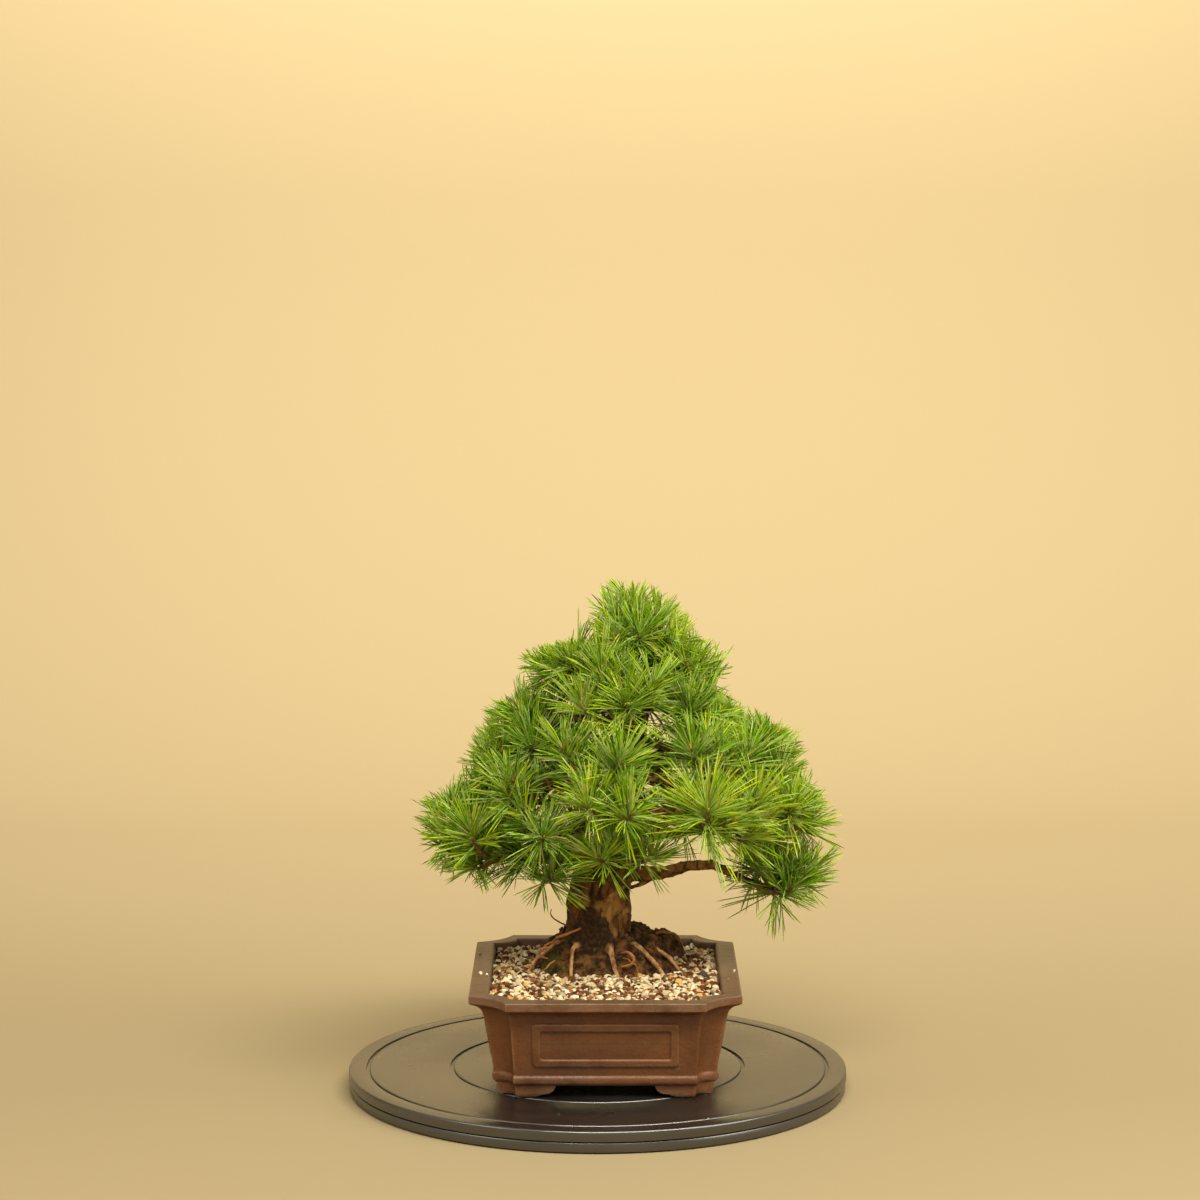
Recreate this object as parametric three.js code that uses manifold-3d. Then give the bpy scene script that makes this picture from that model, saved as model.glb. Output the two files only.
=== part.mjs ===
// A Japanese white pine bonsai, in an unglazed brown pot, on a black swivelling turntable.
// Millimetres, X to the right, Y to the back, Z up. The origin lies on the floor, on the axis
// about which the turntable's upper plate swivels.
import * as THREE from 'three';
import { mergeVertices } from 'three/addons/utils/BufferGeometryUtils.js';
import Module from 'manifold-3d';

const wasm = await Module();
wasm.setup();
const { Manifold, Mesh: SolidMesh } = wasm;

// Driving dimensions
const touchGap = 0.3;
const up = new THREE.Vector3(0, 0, 1);

const turntable = {
  radius: 200,
  height: 18,
  baseRadius: 199.2,
  baseBottom: 1,
  baseTop: 8.6,
  topBottom: 9.4,
  ballPitch: 70,
  ballRadius: 3,
  ballCount: 10,
  ballSides: 5,
  ballRows: 3,
  cageHalfWidth: 2,
  cageHalfThickness: 0.9,
  cageSides: 20,
  raceHalfWidth: 3.7,
  pinRadius: 5,
  pinHeadRadius: 9,
  pinHeadThickness: 2,
  pinBottom: 1.2,
  pinTop: 14,
  baseBevel: 1.4,
  lowerRimBevel: 1.2,
  rimBevel: 1.8,
  rimRound: 0.5,
  grooveRadii: [184.5, 117],
  grooveHalfWidth: 1.4,
  grooveDepth: 1.5,
  padCount: 4,
  padRadius: 8,
  padRing: 170,
  padHeight: 2.4,
  smallSides: 12,
  sides: 36,
};

const pot = {
  centreX: 6.2,
  centreY: -4.2,
  lipHalfX: 106.2,
  lipHalfY: 122.2,
  cornerX: 29,
  cornerY: 27,
  cornerSag: 5,
  cornerShrink: 0.68,
  cornerSteps: 3,
  floorTop: 18,
  footHeight: 9.6,
  footInner: 42,
  hollowBottom: -1,
  hollowTop: 12,
  cutReach: 1.25,
  drainRadius: 12,
  drainOffset: 52,
  drainCut: 20,
  drainSides: 16,
  frameProud: 1.4,
  frameDepth: 5,
  frameBottom: 25,
  frameTop: 61.5,
  frameWidth: 6.8,
  frameMargin: 34,
  frameRound: 4,
  frameInnerRound: 2,
  frameCurveSteps: 2,
};

// Height above the pot's underside and inset from the lip's outline, up the outside of the
// wall, over the lip and down the inside.
const potOutside = [
  [9.6, 21.8], [11, 19.2], [13, 18], [16.4, 18], [18.4, 19.4], [45, 14.8], [61, 12],
  [67.6, 10], [71.2, 6], [73.2, 0.8], [74, 0], [79, 0], [80, 1.1],
];
const potInside = [[80, 13.6], [78.6, 15.2], [61, 19.6], [18, 27.4]];
const potFoot = [[0, 23.6], [3, 22.4], [10.6, 21.8]];
// Half of the cloud-shaped opening between two feet: distance from the middle, and height.
const footOpening = [[38.2, 12], [39.2, 7.4], [43.3, 3.2], [53, 0.6], [58, -0.4]];

// Plastic mesh over each drain hole, which keeps the grit in.
const screen = { side: 40, thickness: 1.2, holes: 2, bar: 4, cellCut: 6 };

const soil = {
  grainPitch: 9.1,
  frontHeight: 76.2,
  backHeight: 71.5,
  grainHeight: 2.6,
  lowestGrain: 0.55,
  hollowDepth: 0.8,
  seed: 11,
};

// The old root ball: height and radius of its rings, before the knobs of its surface.
const mound = {
  centreX: 7,
  centreY: 26,
  stretchX: 1.28,
  squareness: 3.2,
  rings: [[34, 34], [56, 42], [74, 46], [84, 41], [94, 34], [103, 28], [107, 22]],
  clumpX: 50,
  clumpY: 64,
  clumpRadius: 21,
  clumpHeight: 76,
  knob: 2.6,
  sides: 17,
  seed: 5,
};

// Each stretch of wood is a list of points [x, y, z, radius] above the turntable's deck.
const trunkLine = [
  [1, 20, 60, 27], [1, 20, 92, 27.5], [1, 20, 104, 27], [1, 19, 126, 26], [3, 17, 146, 25],
  [14, 14, 172, 20.5], [23, 10, 200, 16.5], [22, 4, 232, 12.5], [26, 2, 262, 10],
  [34, 4, 292, 8], [36, 8, 322, 5.6], [31, 12, 346, 3.4],
];
const bark = { depth: 1.1, sides: 10, steps: 13, seed: 3 };

const branchLines = {
  rightLow: [[14, 15, 153, 8], [42, 12, 154, 5.6], [62, 10, 156, 5], [76, 8, 162, 4.6],
    [100, 4, 161, 3.8], [112, 0, 154, 3.2], [128, -4, 148, 2.2]],
  cutTwig: [[46, 10, 152, 2.4], [35, 9, 146, 2], [24, 8, 141.5, 2]],
  leftLow: [[12, 16, 158, 8], [-14, 8, 166, 6], [-44, -2, 170, 4.4], [-72, -8, 172, 3]],
  leftBack: [[16, 17, 168, 8], [-20, 34, 180, 5.6], [-60, 42, 184, 3.6], [-84, 46, 186, 2.6]],
  frontLow: [[19, 12, 176, 8], [14, -16, 184, 5.2], [6, -38, 186, 3]],
  frontRight: [[22, 10, 192, 8], [44, -18, 194, 5.4], [68, -46, 198, 3.8], [80, -58, 202, 2.8]],
  rightMid: [[23, 10, 202, 8], [62, 10, 203, 5.4], [104, 8, 204, 4], [142, 2, 204, 2.8]],
  backLow: [[20, 14, 184, 8], [18, 46, 183, 5], [12, 70, 182, 3]],
  backRight: [[22, 12, 196, 8], [52, 42, 192, 5.2], [88, 62, 188, 3.8], [112, 64, 188, 2.8]],
  leftMid: [[22, 4, 224, 7], [-10, 0, 226, 5], [-46, -4, 230, 3.8], [-78, 4, 232, 2.6]],
  frontMid: [[22, 4, 228, 6], [13, -28, 230, 4], [4, -58, 232, 2.6]],
  rightFront: [[24, 3, 238, 7], [52, -24, 234, 4.4], [92, -38, 234, 2.8]],
  rightHigh: [[25, 3, 250, 6], [64, 6, 248, 4.4], [104, 8, 248, 3.4], [126, 8, 248, 2.6]],
  backMid: [[24, 5, 242, 6], [18, 42, 242, 4.2], [2, 74, 240, 2.8]],
  backRightMid: [[26, 4, 256, 6], [54, 34, 254, 4], [82, 58, 252, 2.8]],
  leftHigh: [[28, 3, 268, 5], [0, 6, 278, 4], [-32, 16, 282, 2.8]],
  frontHigh: [[31, 3, 280, 4.6], [26, -18, 280, 3.4], [20, -32, 282, 2.6]],
  rightTop: [[34, 4, 294, 4.6], [61, -8, 296, 3.6], [78, -6, 304, 2.8]],
  backHigh: [[34, 5, 292, 4.6], [32, 34, 292, 3.2], [20, 54, 294, 2.6]],
  leftTop: [[35, 8, 314, 4], [10, 2, 320, 3], [-10, 0, 322, 2.4]],
};

// Surface roots that run down the face of the old root ball.
const rootLines = [
  [[-12, 4, 103, 5], [-20, -6, 96, 3], [-21, -14, 84, 2.8], [-21, -21, 70, 2.4]],
  [[8, 0, 101, 5], [11, -10, 93, 3.2], [14, -18, 82, 3], [19, -23, 70, 2.5]],
  [[20, 6, 103, 5], [36, -2, 94, 3.4], [48, -12, 83, 3.2], [58, -22, 71, 2.6]],
  [[22, 12, 103, 5], [40, 9, 97, 3.4], [58, 6, 86, 3], [70, 4, 70, 2.5]],
  [[-18, 14, 102, 5], [-34, 6, 98, 2.8], [-50, -2, 86, 2.5], [-60, -6, 71, 2]],
  [[-10, 36, 100, 8], [-26, 52, 92, 4], [-38, 66, 78, 3.2], [-42, 74, 68, 2.4]],
  [[10, 40, 100, 8], [16, 58, 90, 4], [18, 72, 78, 3.2], [20, 82, 66, 2.4]],
];

// The shoots, spray by spray: the place of each shoot's bud above the deck.
const sprayTips = {
  apex_leader: [[27, 14, 373], [33, -20, 350]],
  apex_left: [[15, 4, 359], [14, -16, 347]],
  apex_right: [[47, 2, 360], [58, -4, 344]],
  apex_back: [[50, 32, 342], [22, 42, 348]],
  crown_star: [[44, -46, 316], [22, -52, 302]],
  crown_right: [[62, -8, 336], [80, 10, 316]],
  crown_front_left: [[3, -36, 328], [-13, -44, 298]],
  crown_left: [[-20, -8, 326], [-42, 10, 318]],
  crown_back: [[70, 46, 312], [36, 66, 314]],
  crown_back_left: [[-8, 50, 322], [-32, 48, 302]],
  shoulder_right: [[72, -32, 292], [96, -2, 280]],
  shoulder_left: [[-52, -34, 264], [-62, 0, 282]],
  shoulder_back_left: [[-60, 46, 278], [-70, 50, 254]],
  shoulder_back_right: [[88, 58, 278], [120, 46, 258]],
  high_front: [[-27, -58, 267], [20, -78, 261]],
  high_front_right: [[73, -72, 268], [119, -36, 257]],
  high_right: [[138, 8, 256], [146, -12, 238]],
  high_back: [[8, 92, 281], [48, 94, 282]],
  high_back_left: [[-38, 90, 262], [-68, 84, 240]],
  high_back_right: [[86, 98, 252], [122, 84, 242]],
  high_left: [[-83, 6, 240], [-72, 26, 258]],
  front_star: [[85, -97, 228], [86, -80, 206]],
  front_centre: [[-8, -90, 226], [26, -99, 222]],
  front_left: [[-42, -74, 199], [-72, -52, 233]],
  front_right: [[124, -66, 228], [120, -50, 196]],
  left_front: [[-100, -46, 200], [-102, -14, 165]],
  left_far: [[-118, 2, 210], [-122, -18, 192]],
  left_low: [[-120, 20, 172], [-122, 46, 190]],
  left_back: [[-96, 56, 214], [-86, 78, 194]],
  left_under: [[-36, -40, 160], [-64, -14, 172]],
  right_low: [[154, -18, 148], [144, 8, 140]],
  right_tip: [[170, -4, 158], [160, 26, 152]],
  right_far: [[168, -8, 196], [150, -38, 216]],
  right_back: [[142, 26, 222], [156, 40, 194]],
  low_front: [[0, -66, 182], [44, -56, 182]],
  low_back_left: [[-92, 52, 166], [-58, 66, 162]],
  low_back: [[-24, 84, 168], [20, 96, 174]],
  low_back_right: [[62, 98, 186], [98, 92, 182]],
  low_right_back: [[132, 42, 148], [146, 66, 176]],
  back_star: [[18, 120, 232], [54, 116, 224]],
  back_left: [[-28, 112, 220], [-60, 102, 204]],
  back_right: [[140, 66, 224], [112, 96, 212]],
};

// Angles in degrees from the shoot's heading. The spreads grow with each try at a clear place.
const needles = {
  length: 37,
  lengthSpread: 7,
  shortest: 20,
  shortening: 0.3,
  rootRadius: 1.4,
  pointRadius: 0.05,
  tipAngle: 24,
  backAngle: 92,
  openingCurve: 0.8,
  angleSpread: 14,
  strayAngle: 60,
  turnSpread: 0.3,
  strayTurn: 1.6,
  endSpread: 0.5,
  lift: 0.3,
  rootPart: 0.12,
  leastStand: 0.12,
  leastBeside: 0.02,
  clearance: 0.35,
  clearOfOwn: 0.1,
  clearOfShoot: 0.15,
  nearNought: 1e-3,
  tries: 40,
  seed: 29,
};
// The crown's outline as the front shows it: height above the deck, then how far it reaches to
// the left and right. The outline leans towards the front, by a share of the height.
const crownOutline = [
  [105, -26, 150], [118, -34, 160], [137, -64, 183], [145, -112, 188], [158, -138, 197],
  [200, -146, 200], [216, -146, 186], [230, -112, 168], [272, -100, 166], [281, -100, 138],
  [294, -90, 114], [306, -60, 96], [314, -60, 98], [328, -69, 106], [338, -60, 101],
  [349, -6, 84], [366, -8, 78], [384, -11, 58], [394, 4, 36],
];
const crown = { lean: 0.123, front: -136, back: 150, step: 1 };
const shoot = {
  bareLength: 32,
  bareShare: 0.62,
  buttDrop: 0.22,
  coreRadius: 1.9,
  middleRadius: 1.7,
  tipRadius: 1.3,
  laterCoreLoss: 0.15,
  forkReach: 4,
  bend: 0.5,
  brushLength: 17,
  brushShare: 0.6,
  brushBands: 5,
  ringTurn: 1.28,
  lift: 0.5,
};
// A twig sags by a share of its length, and leaves the branch a little away from its spray.
const twig = { rootRadius: 2.9, middleRadius: 2.3, sides: 3, steps: 2, sag: 0.05, pull: 0.06, rods: 6 };
const limbSides = 4;
const rootSteps = 3;
// Where along the trunk and the branches twigs may start, and what a start below or far under
// the spray costs.
const twigStart = {
  trunkFrom: 0.55,
  branchFrom: 0.3,
  samples: 20,
  dropCost: 0.6,
  freeRise: 0.7,
  riseCost: 0.5,
};

// Colours and finishes
const finishes = {
  blackPlastic: { color: 0x2a2624, roughness: 0.35, metalness: 0 },
  rubber: { color: 0x1b1b1b, roughness: 0.9, metalness: 0 },
  steel: { color: 0x9a9ca0, roughness: 0.3, metalness: 1 },
  stoneware: { color: 0x5e4232, roughness: 0.6, metalness: 0 },
  screenPlastic: { color: 0x222a24, roughness: 0.7, metalness: 0 },
  grit: { color: 0xcfbd9b, roughness: 0.95, metalness: 0 },
  muck: { color: 0x30241a, roughness: 1, metalness: 0 },
  wood: { color: 0x6e5138, roughness: 0.95, metalness: 0 },
  foliage: { color: 0x568a35, roughness: 0.55, metalness: 0 },
};

const bonsai = new THREE.Group();
const deck = new THREE.Group();
deck.position.z = turntable.height;
bonsai.add(deck);

// Adds a named piece with its own material to a group.
function place(name, geometry, finish, group = bonsai) {
  const piece = new THREE.Mesh(geometry, new THREE.MeshStandardMaterial(finishes[finish]));
  piece.name = name;
  group.add(piece);
  return piece;
}

function seededRandom(seed) {
  let state = seed >>> 0;
  return () => {
    state = (state + 0x6d2b79f5) >>> 0;
    let mixed = Math.imul(state ^ (state >>> 15), state | 1);
    mixed ^= mixed + Math.imul(mixed ^ (mixed >>> 7), mixed | 61);
    return ((mixed ^ (mixed >>> 14)) >>> 0) / 4294967296;
  };
}

function solidOf(geometry) {
  const bare = geometry.clone();
  bare.deleteAttribute('normal');
  bare.deleteAttribute('uv');
  const merged = mergeVertices(bare, 1e-4);
  return new Manifold(new SolidMesh({
    numProp: 3,
    vertProperties: new Float32Array(merged.attributes.position.array),
    triVerts: new Uint32Array(merged.index.array),
  }));
}

// The largest body of a solid: scraps that a cut leaves loose are dropped.
function largestBody(solid) {
  const bodies = solid.decompose();
  return bodies.reduce((best, body) => (body.volume() > best.volume() ? body : best));
}

function geometryOf(solid) {
  const mesh = largestBody(solid).getMesh();
  return meshOf([...mesh.vertProperties], [...mesh.triVerts]);
}

function meshOf(positions, index) {
  const geometry = new THREE.BufferGeometry();
  geometry.setAttribute('position', new THREE.Float32BufferAttribute(positions, 3));
  geometry.setIndex(index);
  return geometry;
}

// A body of revolution about Z from a closed or axis-to-axis profile of [radius, height].
function turned(profile, sides = turntable.sides) {
  const points = profile.map(([radius, height]) => new THREE.Vector2(radius, height));
  const onAxis = points[0].x === 0 && points[points.length - 1].x === 0;
  if (!onAxis) points.push(points[0].clone());
  return new THREE.LatheGeometry(points, sides).rotateX(Math.PI / 2);
}

// A closed skin over rings of equal point counts, each of its quads split along its shorter
// diagonal. endFaces gives the triangles that close a ring.
function loft(rings, endFaces = levelFaces) {
  const count = rings[0].length;
  const positions = rings.flat().flatMap((point) => [point.x, point.y, point.z]);
  const index = [];
  for (let ring = 0; ring < rings.length - 1; ring += 1) {
    for (let side = 0; side < count; side += 1) {
      const next = (side + 1) % count;
      const [a, b] = [ring * count + side, ring * count + next];
      const [c, d] = [a + count, b + count];
      const rising = rings[ring][side].distanceTo(rings[ring + 1][next]);
      const falling = rings[ring][next].distanceTo(rings[ring + 1][side]);
      if (rising < falling) index.push(a, b, d, a, d, c);
      else index.push(a, b, c, b, d, c);
    }
  }
  const last = (rings.length - 1) * count;
  for (const [a, b, c] of endFaces(rings[0])) index.push(c, b, a);
  for (const [a, b, c] of endFaces(rings[rings.length - 1])) index.push(last + a, last + b, last + c);
  return meshOf(positions, index);
}

// Faces of a level ring of any outline.
function levelFaces(ring) {
  return THREE.ShapeUtils.triangulateShape(ring.map((point) => new THREE.Vector2(point.x, point.y)), []);
}

// Faces of a round ring at any tilt.
function roundFaces(ring) {
  return ring.slice(2).map((_, corner) => [0, corner + 1, corner + 2]);
}

// Turntable
const { baseBottom, baseTop, topBottom, height: deckHeight } = turntable;
const raceInner = turntable.ballPitch - turntable.raceHalfWidth;
const raceOuter = turntable.ballPitch + turntable.raceHalfWidth;
const ballHeight = (baseTop + topBottom) / 2;
const raceDepth = turntable.ballRadius + touchGap;
const pinHole = turntable.pinRadius + touchGap;
const headHole = turntable.pinHeadRadius + touchGap;
const headTop = turntable.pinBottom + turntable.pinHeadThickness;

// An upright disc that stands on the floor.
function disc(x, y, radius, height) {
  const round = new THREE.CylinderGeometry(radius, radius, height, turntable.smallSides);
  return round.rotateX(Math.PI / 2).translate(x, y, height / 2);
}

function makeBasePlate() {
  const { baseRadius, baseBevel, padRadius, padHeight } = turntable;
  const plate = solidOf(turned([
    [headHole, baseBottom], [baseRadius - baseBevel, baseBottom], [baseRadius, baseBottom + baseBevel],
    [baseRadius, baseTop], [raceOuter, baseTop], [raceOuter, ballHeight - raceDepth],
    [raceInner, ballHeight - raceDepth], [raceInner, baseTop], [pinHole, baseTop],
    [pinHole, headTop + touchGap], [headHole, headTop + touchGap],
  ]));
  const pockets = padPlaces().map(([x, y]) => (
    solidOf(disc(x, y, padRadius + touchGap, padHeight + touchGap))
  ));
  return plate.subtract(Manifold.union(pockets));
}

function padPlaces() {
  return Array.from({ length: turntable.padCount }, (_, pad) => {
    const angle = ((pad + 0.5) / turntable.padCount) * 2 * Math.PI;
    return [turntable.padRing * Math.cos(angle), turntable.padRing * Math.sin(angle)];
  });
}

function makeTopPlate() {
  const { radius, lowerRimBevel, rimBevel, grooveHalfWidth, grooveDepth } = turntable;
  const rimRound = rimBevel * (1 - turntable.rimRound * Math.SQRT2);
  const grooves = turntable.grooveRadii.flatMap((groove) => [
    [groove + grooveHalfWidth, deckHeight],
    [groove, deckHeight - grooveDepth],
    [groove - grooveHalfWidth, deckHeight],
  ]);
  return turned([
    [0, turntable.pinTop + touchGap], [pinHole, turntable.pinTop + touchGap], [pinHole, topBottom],
    [raceInner, topBottom], [raceInner, ballHeight + raceDepth], [raceOuter, ballHeight + raceDepth],
    [raceOuter, topBottom], [radius - lowerRimBevel, topBottom], [radius, topBottom + lowerRimBevel],
    [radius, deckHeight - rimBevel], [radius - rimRound, deckHeight - rimRound],
    [radius - rimBevel, deckHeight], ...grooves, [0, deckHeight],
  ]);
}

// Balls in their cage: the cage is a flat ring that each ball is snapped into.
function makeBallRing() {
  const { ballPitch, ballRadius, ballCount, cageHalfWidth, cageHalfThickness } = turntable;
  const [inner, outer] = [ballPitch - cageHalfWidth, ballPitch + cageHalfWidth];
  const [low, high] = [ballHeight - cageHalfThickness, ballHeight + cageHalfThickness];
  const section = [[inner, low], [outer, low], [outer, high], [inner, high]];
  const cage = solidOf(turned(section, turntable.cageSides));
  const balls = Array.from({ length: ballCount }, (_, ball) => {
    const angle = (ball / ballCount) * 2 * Math.PI;
    const sphere = new THREE.SphereGeometry(ballRadius, turntable.ballSides, turntable.ballRows);
    sphere.rotateX(Math.PI / 2);
    sphere.translate(ballPitch * Math.cos(angle), ballPitch * Math.sin(angle), ballHeight);
    return solidOf(sphere);
  });
  return cage.add(Manifold.union(balls));
}

place('turntable_base', geometryOf(makeBasePlate()), 'blackPlastic');
place('turntable_top', makeTopPlate(), 'blackPlastic');
place('bearing_balls', geometryOf(makeBallRing()), 'steel');
const { pinRadius, pinHeadRadius, pinBottom, pinTop } = turntable;
place('pivot_pin', turned([
  [0, pinBottom], [pinHeadRadius, pinBottom], [pinHeadRadius, headTop],
  [pinRadius, headTop], [pinRadius, pinTop], [0, pinTop],
], turntable.smallSides), 'steel');
padPlaces().forEach(([x, y], pad) => {
  place(`rubber_pad_${pad + 1}`, disc(x, y, turntable.padRadius, turntable.padHeight), 'rubber');
});

// Pot
// The outline of the pot at one height: a rectangle whose corners are hollowed, shrunk by an
// inset from the lip's outline.
function potOutline(height, inset) {
  const halfX = pot.lipHalfX - inset;
  const halfY = pot.lipHalfY - inset;
  const cutX = pot.cornerX - inset * pot.cornerShrink;
  const cutY = pot.cornerY - inset * pot.cornerShrink;
  const corner = Array.from({ length: pot.cornerSteps + 1 }, (_, step) => {
    const along = step / pot.cornerSteps;
    const sag = pot.cornerSag * 4 * along * (1 - along) * Math.SQRT1_2;
    return [halfX - cutX * along - sag, halfY - cutY * (1 - along) - sag];
  });
  const quadrants = [[1, 1], [-1, 1], [-1, -1], [1, -1]];
  return quadrants.flatMap(([signX, signY]) => {
    const run = signX * signY > 0 ? corner : [...corner].reverse();
    return run.map(([x, y]) => new THREE.Vector3(pot.centreX + signX * x, pot.centreY + signY * y, height));
  });
}

function potRings(profile, grow = 0) {
  return profile.map(([height, inset]) => potOutline(height, inset - grow));
}

// The opening between two feet as a bar that runs right through under the pot, along Y.
function footBar(stretch) {
  const half = footOpening.map(([x, z]) => [x + stretch, z]);
  const around = [...half, ...half.map(([x, z]) => [-x, z]).reverse()];
  const outline = new THREE.Shape(around.map(([x, z]) => new THREE.Vector2(x, z)));
  const depth = 2 * pot.cutReach * pot.lipHalfY;
  const bar = new THREE.ExtrudeGeometry(outline, { depth, bevelEnabled: false });
  return bar.rotateX(Math.PI / 2).translate(0, depth / 2, 0);
}

function makeFeet() {
  const outer = solidOf(loft(potRings(potFoot)));
  const hollow = solidOf(loft(potRings([[pot.hollowBottom, pot.footInner], [pot.hollowTop, pot.footInner]])));
  const frontBack = footBar(0).translate(pot.centreX, pot.centreY, 0);
  const leftRight = footBar(pot.lipHalfY - pot.lipHalfX).rotateZ(Math.PI / 2);
  leftRight.translate(pot.centreX, pot.centreY, 0);
  return outer.subtract(hollow).subtract(solidOf(frontBack)).subtract(solidOf(leftRight));
}

// A raised frame with round corners, moulded on the middle of one wall.
function makeWallFrame(halfLength) {
  const height = pot.frameTop - pot.frameBottom;
  const rounded = (inset, radius) => {
    const x = halfLength - inset;
    const y = height / 2 - inset;
    const path = new THREE.Shape();
    path.moveTo(-x + radius, -y);
    path.lineTo(x - radius, -y);
    path.quadraticCurveTo(x, -y, x, -y + radius);
    path.lineTo(x, y - radius);
    path.quadraticCurveTo(x, y, x - radius, y);
    path.lineTo(-x + radius, y);
    path.quadraticCurveTo(-x, y, -x, y - radius);
    path.lineTo(-x, -y + radius);
    path.quadraticCurveTo(-x, -y, -x + radius, -y);
    return path;
  };
  const { frameDepth: depth, frameCurveSteps: curveSegments } = pot;
  const outline = rounded(0, pot.frameRound);
  const window = rounded(pot.frameWidth, pot.frameInnerRound);
  outline.holes.push(new THREE.Path(window.getPoints(curveSegments)));
  const frame = new THREE.ExtrudeGeometry(outline, { depth, bevelEnabled: false, curveSegments });
  return frame.translate(0, 0, pot.frameProud - depth).rotateX(Math.PI / 2);
}

function wallInset(height) {
  const upper = potOutside.findIndex(([level]) => level >= height);
  const [lowLevel, lowInset] = potOutside[upper - 1];
  const [highLevel, highInset] = potOutside[upper];
  return THREE.MathUtils.mapLinear(height, lowLevel, highLevel, lowInset, highInset);
}

function makePot() {
  const wall = solidOf(loft(potRings([...potOutside, ...potInside])));
  const drains = [-1, 1].map((side) => {
    const { drainRadius, drainCut, drainSides } = pot;
    const drain = new THREE.CylinderGeometry(drainRadius, drainRadius, drainCut, drainSides);
    drain.rotateX(Math.PI / 2);
    drain.translate(pot.centreX, pot.centreY + side * pot.drainOffset, (pot.footHeight + pot.floorTop) / 2);
    return solidOf(drain);
  });
  const { frameBottom, frameTop } = pot;
  const middle = (frameBottom + frameTop) / 2;
  const lean = Math.atan2(wallInset(frameBottom) - wallInset(frameTop), frameTop - frameBottom);
  const frames = [0, 1, 2, 3].map((wallNumber) => {
    const facesY = wallNumber % 2 === 0;
    const halfWall = (facesY ? pot.lipHalfX : pot.lipHalfY) - wallInset(middle);
    const reach = (facesY ? pot.lipHalfY : pot.lipHalfX) - wallInset(middle);
    const frame = makeWallFrame(halfWall - pot.frameMargin).rotateX(lean).translate(0, -reach, middle);
    frame.rotateZ((wallNumber * Math.PI) / 2).translate(pot.centreX, pot.centreY, 0);
    return solidOf(frame);
  });
  return wall.add(makeFeet()).add(Manifold.union(frames)).subtract(Manifold.union(drains));
}

place('pot', geometryOf(makePot()), 'stoneware', deck).position.z = touchGap;

// One drain screen, or with grow the room that it takes in the soil.
function makeScreen(offsetY, grow = 0) {
  const bottom = pot.floorTop + 2 * touchGap;
  const side = screen.side + 2 * grow;
  const plate = new THREE.BoxGeometry(side, side, screen.thickness + 2 * grow);
  plate.translate(pot.centreX, pot.centreY + offsetY, bottom + screen.thickness / 2);
  if (grow > 0) return solidOf(plate);
  const pitch = (screen.side - screen.bar) / screen.holes;
  const shift = (screen.holes - 1) / 2;
  const cells = [];
  for (let row = 0; row < screen.holes; row += 1) {
    for (let column = 0; column < screen.holes; column += 1) {
      const cell = new THREE.BoxGeometry(pitch - screen.bar, pitch - screen.bar, screen.cellCut);
      const [x, y] = [(column - shift) * pitch, (row - shift) * pitch];
      cell.translate(pot.centreX + x, pot.centreY + offsetY + y, bottom);
      cells.push(solidOf(cell));
    }
  }
  return solidOf(plate).subtract(Manifold.union(cells));
}
place('drain_screen_front', geometryOf(makeScreen(-pot.drainOffset)), 'screenPlastic', deck);
place('drain_screen_back', geometryOf(makeScreen(pot.drainOffset)), 'screenPlastic', deck);

// Wood
function pointOf([x, y, z]) {
  return new THREE.Vector3(x, y, z);
}

function pathOf(line) {
  return new THREE.CatmullRomCurve3(line.map(pointOf), false, 'centripetal');
}

// A round limb along points [x, y, z, radius], with its ends cut square. ridge gives the height
// of the bark at a step and side, and grow thickens the limb all over.
function limb(line, { sides, steps, grow = 0, ridge = () => 0 }) {
  const path = pathOf(line);
  const frames = path.computeFrenetFrames(steps, false);
  const rings = [];
  for (let step = 0; step <= steps; step += 1) {
    const along = step / steps;
    const centre = path.getPointAt(along);
    const reached = path.getUtoTmapping(along) * (line.length - 1);
    const piece = Math.min(Math.floor(reached), line.length - 2);
    const radius = THREE.MathUtils.lerp(line[piece][3], line[piece + 1][3], reached - piece);
    if (step === 0) centre.addScaledVector(frames.tangents[0], -grow);
    if (step === steps) centre.addScaledVector(frames.tangents[steps], grow);
    rings.push(Array.from({ length: sides }, (_, side) => {
      const angle = (side / sides) * 2 * Math.PI;
      const spread = radius + grow + ridge(step, side);
      return centre.clone()
        .addScaledVector(frames.normals[step], spread * Math.cos(angle))
        .addScaledVector(frames.binormals[step], spread * Math.sin(angle));
    }));
  }
  return loft(rings, roundFaces);
}

// Bark plates: ridges that run up the trunk, broken at random heights.
function makeBark() {
  const random = seededRandom(bark.seed);
  const heights = Array.from({ length: bark.steps + 1 }, () => (
    Array.from({ length: bark.sides }, () => (random() - 0.5) * 2 * bark.depth)
  ));
  return (step, side) => heights[step][side];
}

// Where a twig leaves the wood: the nearest point of any branch or of the upper trunk, where a
// twig that would hang down or climb straight up costs more.
const leafyLines = Object.entries(branchLines).filter(([name]) => name !== 'cutTwig');
const twigSources = [
  ...leafyLines.map(([, line]) => ({ path: pathOf(line), from: twigStart.branchFrom })),
  { path: pathOf(trunkLine), from: twigStart.trunkFrom },
];

function nearestWood(target) {
  const { samples, dropCost, freeRise, riseCost } = twigStart;
  let best = { cost: Infinity };
  for (const { path, from } of twigSources) {
    for (let sample = 0; sample <= samples; sample += 1) {
      const point = path.getPoint(from + (1 - from) * (sample / samples));
      const distance = point.distanceTo(target);
      const rise = target.z - point.z;
      const steepness = Math.max(0, rise - distance * freeRise);
      const cost = distance + Math.max(0, -rise) * dropCost + steepness * riseCost;
      if (cost < best.cost) best = { cost, point };
    }
  }
  return best.point;
}

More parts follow.
